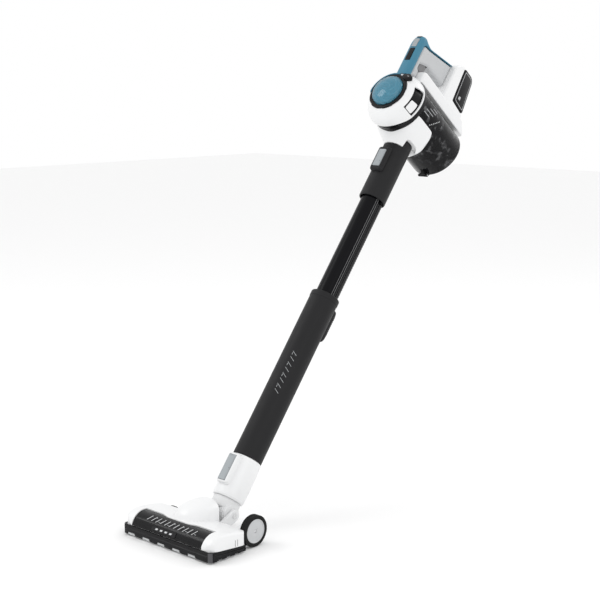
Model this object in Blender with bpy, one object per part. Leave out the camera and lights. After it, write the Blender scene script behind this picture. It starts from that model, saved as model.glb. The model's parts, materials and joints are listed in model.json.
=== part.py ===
"""Cordless stick vacuum: floor head, telescopic wand and handheld unit.

World frame, metres: x runs across the floor head, y from its front bumper to the rear,
z up from the floor. The wand frame has its origin on the elbow's pivot, z up along the
leaning tube, y to its rear side and x across. The cyclone frame has its z along the
cyclone's axis, out through the filter dome.
"""
import math

import bmesh
import bpy
from mathutils import Matrix, Vector

GAP = 0.0003            # clearance between pieces that rest on each other
ORIGIN_Y = 0.46695      # from the front bumper back to the middle of the whole object

# floor head
HEAD_HALF = 0.125
HEAD_BACK = 0.100
RIM_Z = 0.0228          # the cover's rim at the front; it falls towards the rear
RIM_FALL = 0.090
WALL = 0.0025
CHAMBER = (0.0335, 0.0145)   # y, z of the brush cover's centre of curvature
CHEEK_RADIUS = 0.0335
WINDOW_RADIUS = 0.0318
WINDOW_HALF = 0.0978
WINDOW_BACK = 0.0408
BULGE_HALF = 0.0353     # where the airway's bulge breaks the window's rear edge
BULGE_FRONT = 0.0345
BRUSH = (0.0335, 0.0215)
BRUSH_RADIUS = 0.0188
MOTOR = (0.0785, 0.0235)
BELT_X = (-0.1130, -0.1070)
WHEEL = (0.1251, 0.0307)       # the large wheel, on the right only
WHEEL_RADIUS = 0.0307
REAR_ROLLER = (0.1185, 0.0145)
SIDE_ROLLER = (0.072, 0.0048)

# wand, along its axis from the elbow's pivot
PIVOT = (0.1494, 0.0345)
LEAN = math.radians(38.25)
NECK_BOTTOM = 0.0285
NECK_TOP = 0.1155
SLEEVE_RADIUS = 0.0308
SLEEVE_BORE = 0.0290
SLEEVE_TOP = 0.499
TUBE_RADIUS = 0.0234
RACK_SEAT = 0.0203      # the tube is reduced to this behind its widest line
TUBE_BOTTOM = 0.373
COLLAR_RADIUS = 0.0297
COLLAR_BOTTOM = 0.741
COLLAR_TOP = 0.875
CYCLONE_Z = 0.9565      # height of the cyclone's axis in the wand frame

# handheld unit
RING_RADIUS = 0.0662
RING_BACK = 0.0588      # the cyclone ring's rear edge along the cyclone's axis
BIN_RADIUS = 0.0610
BIN_TOP = 0.0452
BIN_BOTTOM = -0.1165
SPINE_HALF = 0.0345
GRIP_HALF = 0.0160
BATTERY_HALF = 0.0295

WHITE = ("white_plastic", (0.86, 0.87, 0.88), 0.35, 0.0)
BLACK = ("black_plastic", (0.02, 0.02, 0.022), 0.30, 0.0)
CHARCOAL = ("charcoal_plastic", (0.045, 0.045, 0.047), 0.55, 0.0)
SATIN_BLACK = ("satin_black_metal", (0.02, 0.02, 0.022), 0.35, 0.8)
BLUE = ("blue_plastic", (0.09, 0.28, 0.40), 0.35, 0.0)
SMOKED = ("smoked_plastic", (0.03, 0.03, 0.035), 0.10, 0.0)
SILVER = ("silver_plastic", (0.48, 0.51, 0.53), 0.35, 0.5)
GREY = ("grey_plastic", (0.55, 0.56, 0.57), 0.50, 0.0)
RUBBER = ("black_rubber", (0.02, 0.02, 0.02), 0.80, 0.0)
STEEL = ("steel", (0.60, 0.61, 0.62), 0.30, 1.0)
FELT = ("filter_felt", (0.75, 0.74, 0.70), 0.90, 0.0)
NYLON = ("brush_nylon", (0.10, 0.10, 0.11), 0.80, 0.0)


def clear_scene():
    for item in list(bpy.data.objects):
        bpy.data.objects.remove(item, do_unlink=True)


def material(look):
    name, colour, roughness, metallic = look
    found = bpy.data.materials.get(name)
    if found:
        return found
    made = bpy.data.materials.new(name)
    made.use_nodes = True
    shader = made.node_tree.nodes["Principled BSDF"]
    shader.inputs["Base Color"].default_value = (*colour, 1.0)
    shader.inputs["Roughness"].default_value = roughness
    shader.inputs["Metallic"].default_value = metallic
    made.diffuse_color = (*colour, 1.0)
    return made


def empty(name, location=(0, 0, 0), rotation=(0, 0, 0), parent=None):
    made = bpy.data.objects.new(name, None)
    made.location = location
    made.rotation_euler = rotation
    made.parent = parent
    bpy.context.collection.objects.link(made)
    return made


def is_flat(face):
    start = face.verts[0].co
    return all(abs((vert.co - start).dot(face.normal)) < 1e-7 for vert in face.verts)


def add_solid(name, points, faces, look, parent):
    mesh = bpy.data.meshes.new(name)
    mesh.from_pydata([tuple(point) for point in points], [], faces)
    shell = bmesh.new()
    shell.from_mesh(mesh)
    bmesh.ops.recalc_face_normals(shell, faces=shell.faces)
    bent = [face for face in shell.faces if not is_flat(face)]
    bmesh.ops.triangulate(shell, faces=bent)
    shell.to_mesh(mesh)
    shell.free()
    mesh.shade_smooth()
    mesh.set_sharp_from_angle(angle=math.radians(35))
    mesh.materials.append(material(look))
    made = bpy.data.objects.new(name, mesh)
    made.parent = parent
    bpy.context.collection.objects.link(made)
    return made


def loft(name, rings, look, parent=None, tube=False):
    """A skin over rings of equal count, capped at both ends, or closed on itself as a tube."""
    count = len(rings[0])
    points = [point for ring in rings for point in ring]
    faces = []
    spans = len(rings) if tube else len(rings) - 1
    for row in range(spans):
        low, high = row * count, (row + 1) % len(rings) * count
        for i in range(count):
            j = (i + 1) % count
            faces.append((low + i, low + j, high + j, high + i))
    if not tube:
        faces.append(tuple(range(count)))
        faces.append(tuple(range(len(points) - count, len(points))))
    return add_solid(name, points, faces, look, parent)


def circle(radius, count=40):
    turns = [math.tau * i / count for i in range(count)]
    return [(radius * math.cos(t), radius * math.sin(t)) for t in turns]


def rounded_box(low, high, corner, steps=3):
    """Outline of a rectangle from low to high with round corners."""
    centres = [(high[0], high[1], 0), (low[0], high[1], 1), (low[0], low[1], 2), (high[0], low[1], 3)]
    outline = []
    for x, y, quarter in centres:
        cx = x - corner if quarter in (0, 3) else x + corner
        cy = y - corner if quarter in (0, 1) else y + corner
        for i in range(steps + 1):
            t = (quarter + i / steps) * math.pi / 2
            outline.append((cx + corner * math.cos(t), cy + corner * math.sin(t)))
    return outline


def offset(outline, distance):
    """The outline moved inwards by distance, for outlines that run anticlockwise."""
    moved = []
    count = len(outline)
    for i in range(count):
        before, here, after = (Vector(outline[(i + k) % count]) for k in (-1, 0, 1))
        first = (here - before).normalized()
        second = (after - here).normalized()
        inward = Vector((-first.y, first.x)) + Vector((-second.y, second.x))
        inward.normalize()
        share = max(0.4, inward.dot(Vector((-first.y, first.x))))
        moved.append(tuple(here + inward * (distance / share)))
    return moved


def flat_ring(outline, height):
    return [(x, y, height) for x, y in outline]


def prism(name, outline, low, high, look, parent=None):
    return loft(name, [flat_ring(outline, low), flat_ring(outline, high)], look, parent)


def side_ring(outline, x):
    """An outline given as y, z pairs, stood up at a place along x."""
    return [(x, y, z) for y, z in outline]


def side_prism(name, outline, low, high, look, parent=None):
    return loft(name, [side_ring(outline, low), side_ring(outline, high)], look, parent)


def turned(name, profile, look, parent, count=40, hollow=True):
    """A profile of radius, height pairs turned about the parent's z axis."""
    rings = [flat_ring(circle(radius, count), height) for radius, height in profile]
    return loft(name, rings, look, parent, tube=hollow)


def across(name, place, parent=None):
    """An empty whose z axis runs along x, at a y, z place."""
    return empty(name, (0, place[0], place[1]), (0, math.pi / 2, 0), parent)


def combine(target, tool, operation):
    change = target.modifiers.new(operation.lower(), "BOOLEAN")
    change.operation = operation
    change.solver = "EXACT"
    change.object = tool
    tool.hide_render = True
    tool.display_type = "WIRE"


def cut(target, tool):
    combine(target, tool, "DIFFERENCE")


def join(target, tool):
    combine(target, tool, "UNION")


def box(name, low, high, look=GREY, parent=None, corner=0.0005):
    return prism(name, rounded_box(low[:2], high[:2], corner), low[2], high[2], look, parent)


# ---------------------------------------------------------------- floor head

def head_outline(inset, back):
    """Plan of the head: chamfered front corners, rounded rear ones."""
    half, front, chamfer, radius = HEAD_HALF - inset, inset, 0.007, 0.012
    outline = [(-half + chamfer, front), (half - chamfer, front), (half, front + chamfer)]
    for side in (1, -1):
        turns = [math.radians(a) for a in (0, 30, 60, 90)]
        arc = [(side * (half - radius + radius * math.cos(t)), back - radius + radius * math.sin(t))
               for t in turns]
        outline += arc if side == 1 else arc[::-1]
    outline.append((-half, front + chamfer))
    return outline


def trim_to_rim(owner, name, parent):
    """Trims a piece below the cover's falling rim."""
    def rim(y):
        return RIM_Z - GAP - RIM_FALL * y

    outline = [(-0.02, rim(-0.02)), (0.13, rim(0.13)), (0.13, 0.06), (-0.02, 0.06)]
    cut(owner, side_prism(f"cut_rim_{name}", outline, -0.2, 0.2, GREY, parent))


def base_tray(parent):
    outer = head_outline(0.0045, HEAD_BACK - 0.0005)
    inner = head_outline(0.0045 + WALL, HEAD_BACK - 0.0005 - WALL)
    floor, skin = 0.0035, 0.0030
    rings = [flat_ring(outer, floor), flat_ring(outer, 0.030), flat_ring(inner, 0.030),
             flat_ring(inner, floor + skin)]
    tray = loft("base_tray", rings, WHITE, parent)
    trim_to_rim(tray, "tray", parent)
    cut(tray, box("cut_brush_slot", (-0.100, 0.0135, 0), (0.100, 0.0535, 0.012), parent=parent))
    cut(tray, box("cut_duct_way", (-0.030, 0.090, 0.0090), (0.030, 0.104, 0.030), parent=parent))
    wheel_arch(tray, "tray", parent)
    for side in (-1, 1):
        near, far = sorted((side * 0.1062, side * 0.1174))
        cut(tray, box(f"cut_roller_{side}", (near, 0.0650, 0), (far, 0.0790, 0.012), parent=parent))


def wheel_arch(owner, name, parent):
    axis = across(f"arch_axis_{name}", WHEEL, parent)
    room = [(WHEEL_RADIUS + 0.0010, 0.1030), (WHEEL_RADIUS + 0.0010, 0.1300)]
    cut(owner, turned(f"cut_arch_{name}", room, GREY, axis, count=36, hollow=False))


def front_bumper(parent):
    thick, bottom, sides_end = 0.0030, 0.0028, 0.092
    outer = [(HEAD_HALF, sides_end), (HEAD_HALF, 0.0075), (HEAD_HALF - 0.008, 0.0)]
    inner = [(HEAD_HALF - thick, sides_end), (HEAD_HALF - thick, 0.0088), (HEAD_HALF - 0.0093, thick)]
    outline = outer + [(-x, y) for x, y in outer[::-1]]
    outline += [(-x, y) for x, y in inner] + inner[::-1]
    bumper = prism("front_bumper", outline[::-1], bottom, 0.030, BLACK, parent)
    trim_to_rim(bumper, "bumper", parent)
    pitch, width, top = 0.0427, 0.022, 0.0065
    for i in range(5):
        middle = -0.0125 + pitch * (i - 2)
        low, high = (middle - width / 2, -0.01, 0), (middle + width / 2, 0.004, top)
        cut(bumper, box(f"cut_air_inlet_{i}", low, high, parent=parent))


def shell_height(x, y):
    """Top of the head's cover: a round brush chamber and a gentle fall behind it."""
    cy, cz = CHAMBER
    if y < cy:
        height = cz + math.sqrt(max(CHEEK_RADIUS ** 2 - (y - cy) ** 2, 0.0))
    else:
        height = cz + CHEEK_RADIUS - 0.0095 * ((y - cy) / (HEAD_BACK - cy)) ** 2
    edge = max(0.0, abs(x) - 0.108) / 0.017
    return height - 0.009 * edge ** 2


def shell_solid(name, inset, rim, fall, look, parent):
    """A block whose top follows shell_height, drawn in by inset on every side."""
    columns, rows = 20, 12
    half, front = HEAD_HALF - 0.0005 - 1.3 * inset, 0.0022 + 1.7 * inset

    def place(i, j):
        s, t = 2 * i / columns - 1, j / rows
        back = HEAD_BACK - inset + 0.016 * max(0.0, 1 - (s * half / 0.042) ** 2) ** 0.5
        squeeze = 0.05 * abs(2 * t - 1) ** 10
        x = half * s * (1 - squeeze)
        y = front + (back - front) * t
        y += 0.007 * abs(s) ** 12 * (1 - 2 * t)
        return x, y

    points, faces = [], []
    for level in ("top", "bottom"):
        for j in range(rows + 1):
            for i in range(columns + 1):
                x, y = place(i, j)
                top = max(shell_height(x, y) - 1.1 * inset, rim + 0.001)
                points.append((x, y, top if level == "top" else rim - fall * y))
    row, sheet = columns + 1, (columns + 1) * (rows + 1)
    for j in range(rows):
        for i in range(columns):
            a = j * row + i
            quad = (a, a + 1, a + row + 1, a + row)
            faces += [(quad[0], quad[1], quad[2]), (quad[0], quad[2], quad[3])]
            faces.append(tuple(sheet + k for k in quad[::-1]))
    edge = [i for i in range(row)] + [j * row + columns for j in range(1, rows + 1)]
    edge += [rows * row + i for i in range(columns - 1, -1, -1)]
    edge += [j * row for j in range(rows - 1, 0, -1)]
    for k, a in enumerate(edge):
        b = edge[(k + 1) % len(edge)]
        faces.append((a, b, sheet + b, sheet + a))
    return add_solid(name, points, faces, look, parent)


def window_outline(gap):
    half, back = WINDOW_HALF - gap, WINDOW_BACK - gap
    notch, front = BULGE_HALF + gap, BULGE_FRONT - gap
    return [(-half, -0.01), (half, -0.01), (half, back), (notch, back),
            (notch, front), (-notch, front), (-notch, back), (-half, back)]


def bulge(name, inset, bottom, parent):
    """The airway's bulge: rounded plan, steep flanks, flat towards the elbow."""
    rings = []
    for lift in (0.0, 0.25, 0.5, 0.7, 0.85, 0.95, 0.99):
        shrink = (1 - lift ** 2.2) ** (1 / 2.4) if lift else 1.0
        height = 0.0400 + (0.0345 - inset) * lift if lift else bottom
        back = 0.1150 - inset - 0.10 * (height - 0.020)
        ring = []
        for i in range(28):
            c, s = math.cos(math.tau * i / 28), math.sin(math.tau * i / 28)
            x = (0.0390 - inset) * shrink * math.copysign(abs(c) ** 0.83, c)
            y = 0.0930 + (0.0560 - inset) * shrink * math.copysign(abs(s) ** 0.83, s)
            ring.append((x, min(y, back), height))
        rings.append(ring)
        if not lift:
            rings.append([(x, y, 0.0400) for x, y, z in ring])
    return loft(name, rings, WHITE, parent)


def head_shell(parent):
    shell = shell_solid("head_shell", 0.0, RIM_Z, RIM_FALL, WHITE, parent)
    join(shell, bulge("join_bulge", 0.0, 0.0236, parent))
    cut(shell, shell_solid("cut_shell_inside", WALL, 0.010, 0.0, GREY, parent))
    cut(shell, bulge("cut_bulge_inside", WALL, 0.0110, parent))
    cut(shell, prism("cut_window", window_outline(0.0), 0.0, 0.09, GREY, parent))
    port = empty("airway_port", (0, 0.1, 0.0352), (-math.pi / 2, 0, 0), parent)
    cut(shell, turned("cut_port", [(0.0202, -0.02), (0.0202, 0.03)], GREY, port, hollow=False))
    wheel_arch(shell, "shell", parent)
    for side in (-1, 1):
        near, far = sorted((side * 0.0298, side * 0.0379))
        cut(shell, box(f"cut_arm_{side}", (near, 0.0995, 0.010), (far, 0.130, 0.034), parent=parent))


def brush_window(parent):
    cy, cz = CHAMBER
    low_turn = math.pi - math.asin((RIM_Z + 2 * GAP - cz) / WINDOW_RADIUS)
    high_turn = math.acos((WINDOW_BACK + 0.002 - cy) / WINDOW_RADIUS)
    steps = 14
    turns = [low_turn + (high_turn - low_turn) * i / steps for i in range(steps + 1)]
    outer = [(cy + WINDOW_RADIUS * math.cos(t), cz + WINDOW_RADIUS * math.sin(t)) for t in turns]
    inner_radius = WINDOW_RADIUS - 0.002
    inner = [(cy + inner_radius * math.cos(t), cz + inner_radius * math.sin(t)) for t in turns[::-1]]
    half = WINDOW_HALF - GAP
    window = side_prism("brush_window", outer + inner, -half, half, SMOKED, parent)
    combine(window, prism("keep_window", window_outline(GAP), 0.0, 0.08, GREY, parent), "INTERSECT")


def brush_ring(twist, count=32):
    """Cross-section of the brush bar: a core with four bristle rows, turned by twist."""
    ring = []
    for i in range(count):
        t = math.tau * i / count
        row = max(0.0, math.cos(4 * (t - twist))) ** 3
        radius = 0.0120 + (BRUSH_RADIUS - 0.0120) * row
        ring.append((radius * math.cos(t), radius * math.sin(t)))
    return ring


def brush_pieces(parent):
    axis = across("brush_axis", BRUSH, parent)
    half, sections = 0.0935, 18
    rings = [flat_ring(circle(0.0038, 32), -half - 0.0005)]
    for i in range(sections + 1):
        along = -half + 2 * half * i / sections
        rings.append(flat_ring(brush_ring(1.6 * i / sections), along))
    rings += [flat_ring(circle(0.0038, 32), half + 0.0005), flat_ring(circle(0.0038, 32), half + 0.009)]
    loft("brush_roller", rings, NYLON, axis)
    profile = [(0.0070, -0.0945), (0.0070, -0.1060), (0.0095, -0.1065), (0.0095, -0.1135), (0.0110, -0.1137),
               (0.0110, -0.1145)]
    turned("brush_pulley", profile, GREY, axis, count=32, hollow=False)
    drive = across("brush_motor_axis", MOTOR, parent)
    case = [(0.0060, -0.0960), (0.0125, -0.0958), (0.0132, -0.0950), (0.0132, -0.0410), (0.0120, -0.0400)]
    turned("brush_motor", case, STEEL, drive, count=28, hollow=False)
    profile = [(0.0016, -0.0963), (0.0016, -0.1062), (0.0055, -0.1064), (0.0055, -0.1135), (0.0065, -0.1137),
               (0.0065, -0.1143)]
    turned("motor_pulley", profile, STEEL, drive, count=24, hollow=False)


def belt_outline(first, first_radius, second, second_radius, steps=12):
    """Loop around two pulleys, straight between them."""
    reach = math.dist(first, second)
    slant = math.atan2(second[1] - first[1], second[0] - first[0])
    spread = math.acos((first_radius - second_radius) / reach)
    outline = []
    for i in range(steps + 1):
        t = slant + spread + (math.tau - 2 * spread) * i / steps
        outline.append((first[0] + first_radius * math.cos(t), first[1] + first_radius * math.sin(t)))
    for i in range(steps + 1):
        t = slant - spread + 2 * spread * i / steps
        outline.append((second[0] + second_radius * math.cos(t), second[1] + second_radius * math.sin(t)))
    return outline


def drive_belt(parent):
    inner = belt_outline(BRUSH, 0.0099, MOTOR, 0.0059)
    outer = belt_outline(BRUSH, 0.0114, MOTOR, 0.0074)
    near, far = BELT_X
    rings = [side_ring(outer, near), side_ring(outer, far), side_ring(inner, far), side_ring(inner, near)]
    loft("drive_belt", rings, RUBBER, parent, tube=True)


def suction_duct(parent):
    wall, count = 0.0016, 32
    stations = [(0.058, 0.035, 0.011, 0.0220), (0.085, 0.0235, 0.0130, 0.0275),
                (0.1200, 0.0165, 0.0165, 0.0360)]

    def ring(station, inset):
        y, half_x, half_z, z = station
        power = 0.55 if half_x > 0.03 else 1.0
        points = []
        for i in range(count):
            c, s = math.cos(math.tau * i / count), math.sin(math.tau * i / count)
            points.append(((half_x - inset) * math.copysign(abs(c) ** power, c), y,
                           z + (half_z - inset) * math.copysign(abs(s) ** power, s)))
        return points

    rings = [ring(station, 0.0) for station in stations] + [ring(station, wall) for station in stations[::-1]]
    loft("suction_duct", rings, BLACK, parent, tube=True)


def rear_wheel(parent):
    axis = across("wheel_axis", WHEEL, parent)
    tyre = [(0.0237, 0.1048), (0.0292, 0.1045), (0.0307, 0.1062), (0.0307, 0.1178), (0.0292, 0.1194),
            (0.0237, 0.1190)]
    turned("tyre", tyre, RUBBER, axis, count=36)
    hub = [(0.0034, 0.1030), (0.0070, 0.1030), (0.0234, 0.1050), (0.0234, 0.1183), (0.0190, 0.1186),
           (0.0175, 0.1176), (0.0034, 0.1176)]
    turned("wheel_hub", hub, GREY, axis, count=36)
    axle = [(0.0050, 0.0856), (0.0050, 0.0872), (0.0030, 0.0874), (0.0030, 0.1172)]
    turned("wheel_axle", axle, STEEL, axis, count=16, hollow=False)
    bracket = wheel_bracket("wheel_bracket", WHEEL, 0.0100, (0.0130, 0.0370), (0.0878, 0.1015), parent)
    bore = [(0.0033, 0.085), (0.0033, 0.104)]
    cut(bracket, turned("cut_axle_bore", bore, GREY, axis, count=16, hollow=False))


def rear_roller(parent):
    """Small wheel on the far side, low enough to stay under the deck."""
    axis = across("roller_axis", REAR_ROLLER, parent)
    tread = [(0.0034, -0.1025), (0.0060, -0.1025), (0.0133, -0.1040), (0.0145, -0.1055), (0.0145, -0.1145),
             (0.0133, -0.1160), (0.0034, -0.1150)]
    turned("rear_roller", tread, RUBBER, axis, count=24)
    axle = [(0.0050, -0.0866), (0.0050, -0.0880), (0.0030, -0.0882), (0.0030, -0.1146)]
    turned("roller_axle", axle, STEEL, axis, count=16, hollow=False)
    bracket = wheel_bracket("roller_bracket", REAR_ROLLER, 0.0075, (0.0080, 0.0220), (-0.1010, -0.0885),
                            parent)
    bore = [(0.0033, -0.085), (0.0033, -0.104)]
    cut(bracket, turned("cut_roller_bore", bore, GREY, axis, count=16, hollow=False))


def wheel_bracket(name, place, radius, roots, reach, parent):
    start = HEAD_BACK - 0.0002
    outline = [(start, roots[0])]
    for i in range(9):
        t = math.radians(-90 + 180 * i / 8)
        outline.append((place[0] + radius * math.cos(t), place[1] + radius * math.sin(t)))
    outline.append((start, roots[1]))
    return side_prism(name, outline, reach[0], reach[1], WHITE, parent)


def side_roller(side, name, parent):
    axis = across(f"side_roller_axis_{name}", SIDE_ROLLER, parent)
    profile = [(0.0014, 0.1066), (0.0014, 0.1076), (0.0048, 0.1080), (0.0048, 0.1156), (0.0014, 0.1160),
               (0.0014, 0.1170)]
    turned(f"side_roller_{name}", [(r, side * h) for r, h in profile], GREY, axis, count=20, hollow=False)


def hinge_arm(side, name, parent):
    start, radius = HEAD_BACK - 0.0002, 0.0120
    outline = [(start, 0.0120)]
    for i in range(11):
        t = math.radians(-90 + 180 * i / 10)
        outline.append((PIVOT[0] + radius * math.cos(t), PIVOT[1] + radius * math.sin(t)))
    outline.append((start, 0.0222))
    arm = side_prism(f"hinge_arm_{name}", outline, side * 0.0302, side * 0.0375, WHITE, parent)
    axis = across(f"pivot_axis_{name}", PIVOT, parent)
    bore = [(0.0043, side * 0.028), (0.0043, side * 0.040)]
    cut(arm, turned(f"cut_pin_bore_{name}", bore, GREY, axis, count=20, hollow=False))
    pin = [(0.0040, 0.0226), (0.0040, 0.0378), (0.0058, 0.0380), (0.0058, 0.0392)]
    turned(f"pivot_pin_{name}", [(r, side * h) for r, h in pin], STEEL, axis, count=20, hollow=False)


def floor_head(parent):
    base_tray(parent)
    front_bumper(parent)
    head_shell(parent)
    brush_window(parent)
    brush_pieces(parent)
    drive_belt(parent)
    suction_duct(parent)
    rear_wheel(parent)
    rear_roller(parent)
    for side, name in ((-1, "left"), (1, "right")):
        side_roller(side, name, parent)
        hinge_arm(side, name, parent)


# ---------------------------------------------------------------- wand

def elbow_knuckle(wand):
    axis = empty("knuckle_axis", (0, 0, 0), (0, math.pi / 2, 0), wand)
    barrel = [(0.0190, -0.0285), (0.0220, -0.0265), (0.0220, 0.0265), (0.0190, 0.0285)]
    knuckle = turned("elbow_knuckle", barrel, GREY, axis, count=36, hollow=False)
    spigot = [(0.0265, 0.0050), (0.0285, 0.0080), (0.0285, 0.0262)]
    join(knuckle, turned("join_spigot", spigot, GREY, wand, count=36, hollow=False))
    cut(knuckle, turned("cut_airway", [(0.0160, -0.04), (0.0160, 0.04)], GREY, wand, count=28, hollow=False))
    for side in (-1, 1):
        bore = [(0.0043, side * 0.0222), (0.0043, side * 0.0400)]
        cut(knuckle, turned(f"cut_knuckle_pin_{side}", bore, GREY, axis, count=20, hollow=False))


def button_boss(owner, name, half, low, high, face, root, wand):
    """A pad raised on the front of a tube, its edges drawn in towards the face."""
    rings = []
    for y, inset in ((root, 0.0), (face + 0.0030, 0.0010), (face + 0.0008, 0.0022), (face, 0.0038)):
        outline = rounded_box((-half + inset, low + inset), (half - inset, high - inset), 0.0050 - inset / 2)
        rings.append([(x, y, z) for x, z in outline])
    join(owner, loft(f"join_{name}_boss", rings, WHITE, wand))


def push_button(owner, name, half, low, high, face, depth, travel, wand):
    pocket_low = (-half - 0.0004, face - 0.02, low - 0.0004)
    pocket_high = (half + 0.0004, face + depth + travel + GAP, high + 0.0004)
    cut(owner, box(f"cut_{name}", pocket_low, pocket_high, parent=wand, corner=0.0012))
    box(name, (-half, face, low), (half, face + depth, high), SILVER, wand, corner=0.0010)


def neck(wand):
    profile = [(0.0300, NECK_BOTTOM), (0.0330, 0.0330), (0.0335, 0.0600), (0.0330, 0.0900),
               (0.0314, NECK_TOP),
               (0.0268, NECK_TOP), (0.0268, 0.150), (0.0245, 0.150), (0.0245, 0.0320), (0.0235, NECK_BOTTOM)]
    shell = turned("neck_shell", profile, WHITE, wand, count=44)
    button_boss(shell, "neck", 0.0152, 0.0475, 0.1135, -0.0415, -0.0255, wand)
    push_button(shell, "neck_button", 0.0095, 0.0530, 0.1080, -0.0430, 0.0040, 0.0025, wand)


def rack_reach(t):
    """How far the rack behind the tube reaches at an angle, as a squared-off oval."""
    return ((abs(math.cos(t)) / 0.0200) ** 4 + (abs(math.sin(t)) / 0.0235) ** 4) ** -0.25


def keyed_ring(radius, back, count=56):
    """A circle in front of the tube's widest line and the given reach behind it."""
    ring = []
    for i in range(count):
        t = math.tau * i / count
        behind = math.sin(t) > -0.20
        reach = back(t) if behind else radius
        ring.append((reach * math.cos(t), reach * math.sin(t)))
    return ring


def lower_wand(wand):
    profile = [(SLEEVE_RADIUS, NECK_TOP + 0.0010), (SLEEVE_RADIUS, 0.486), (0.0316, 0.4875),
               (0.0316, SLEEVE_TOP),
               (SLEEVE_BORE, SLEEVE_TOP), (SLEEVE_BORE, NECK_TOP + 0.0010)]
    turned("lower_sleeve", profile, CHARCOAL, wand, count=44)
    outer = circle(SLEEVE_BORE - 0.0003, 56)
    inner = keyed_ring(TUBE_RADIUS + 0.0004, lambda t: max(TUBE_RADIUS, rack_reach(t)) + 0.0004)
    rings = [flat_ring(outer, 0.470), flat_ring(outer, 0.4985), flat_ring(inner, 0.4985),
             flat_ring(inner, 0.470)]
    loft("sleeve_bush", rings, GREY, wand, tube=True)
    stations = [(0.4085, 0.0125, 0.0330), (0.4125, 0.0145, 0.0385), (0.4300, 0.0160, 0.0420),
                (0.4700, 0.0160, 0.0420),
                (0.4820, 0.0150, 0.0400), (0.4850, 0.0125, 0.0350)]
    rings = [flat_ring(slider_outline(half, crown), z) for z, half, crown in stations]
    loft("lock_slider", rings, BLACK, wand)


def slider_outline(half, crown):
    """Section of the slider: hollow side hugging the sleeve, rounded back."""
    inner = []
    for i in range(9):
        x = half * (1 - i / 4)
        inner.append((x, math.sqrt((SLEEVE_RADIUS + 0.0004) ** 2 - x * x)))
    outer = []
    for i in range(11):
        t = math.pi * i / 10
        root = inner[-1][1]
        outer.append((-half * math.copysign(abs(math.cos(t)) ** 0.45, math.cos(t)),
                      root + 0.0006 + (crown - root) * math.sin(t) ** 0.45))
    return inner + outer


def upper_wand(wand):
    outer = keyed_ring(TUBE_RADIUS, lambda t: RACK_SEAT)
    inner = circle(RACK_SEAT - 0.0017, 56)
    low, high = TUBE_BOTTOM, 0.764
    rings = [flat_ring(outer, low), flat_ring(outer, high), flat_ring(inner, high), flat_ring(inner, low)]
    loft("inner_tube", rings, SATIN_BLACK, wand, tube=True)
    turns = [math.radians(20 + 140 * i / 20) for i in range(21)]
    rack = [(rack_reach(t) * math.cos(t), rack_reach(t) * math.sin(t)) for t in turns]
    seat = RACK_SEAT + 0.0003
    rack += [(seat * math.cos(t), seat * math.sin(t)) for t in turns[::-1]]
    prism("wand_rack", rack, TUBE_BOTTOM + 0.003, 0.7545, BLACK, wand)
    profile = [(0.0285, COLLAR_BOTTOM), (COLLAR_RADIUS, COLLAR_BOTTOM + 0.0015), (COLLAR_RADIUS, COLLAR_TOP),
               (0.0270, COLLAR_TOP), (0.0270, 0.7680), (0.0238, 0.7660), (0.0238, 0.7570), (0.0268, 0.7550),
               (0.0268, COLLAR_BOTTOM)]
    collar = turned("upper_collar", profile, CHARCOAL, wand, count=44)
    for side, first in ((1, -28), (-1, 132)):
        join(collar, wedge(f"join_ear_{side}", 0.0273, 0.0299, first, first + 76, 0.850, 0.8930, wand))
    button_boss(collar, "collar", 0.0160, 0.7990, 0.8600, -0.0375, -0.0280, wand)
    push_button(collar, "collar_button", 0.0095, 0.8080, 0.8510, -0.0395, 0.0040, 0.0025, wand)


# ---------------------------------------------------------------- handheld unit

def inlet_duct(wand, cyclone):
    """White airway from the wand's socket, flaring out to hug the dust bin."""
    stations = [(0.778, 0.0262, 0.0262, 0.0, 1.0), (0.8750, 0.0262, 0.0262, 0.0, 1.0),
                (0.8758, 0.0285, 0.0300, 0.0, 0.9), (0.889, 0.0352, 0.0380, 0.001, 0.65),
                (0.900, 0.0430, 0.0440, -0.0022, 0.50), (0.915, 0.0525, 0.0455, -0.0085, 0.42),
                (0.928, 0.0585, 0.0432, -0.0117, 0.36), (0.936, 0.0605, 0.0398, -0.0142, 0.34)]
    count = 40
    rings = []
    for z, half_x, half_y, middle, power in stations:
        ring = []
        for i in range(count):
            c, s = math.cos(math.tau * i / count), math.sin(math.tau * i / count)
            ring.append((half_x * math.copysign(abs(c) ** power, c),
                         middle + half_y * math.copysign(abs(s) ** power, s), z))
        rings.append(ring)
    duct = loft("inlet_duct", rings, WHITE, wand)
    clear = [(BIN_RADIUS + 0.0008, -0.10), (BIN_RADIUS + 0.0008, 0.10)]
    cut(duct, turned("cut_bin_room", clear, GREY, cyclone, count=64, hollow=False))
    collar_room = [(BIN_RADIUS + 0.0026, BIN_TOP - GAP), (BIN_RADIUS + 0.0026, 0.10)]
    cut(duct, turned("cut_duct_collar_room", collar_room, GREY, cyclone, count=64, hollow=False))
    for side, first in ((1, -29), (-1, 131)):
        cut(duct, wedge(f"cut_ear_room_{side}", 0.0270, 0.0400, first, first + 78, 0.860, 0.8934, wand))
    cut(duct, turned("cut_inlet_bore", [(0.0215, 0.76), (0.0215, 0.93)], GREY, wand, count=32, hollow=False))


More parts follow.
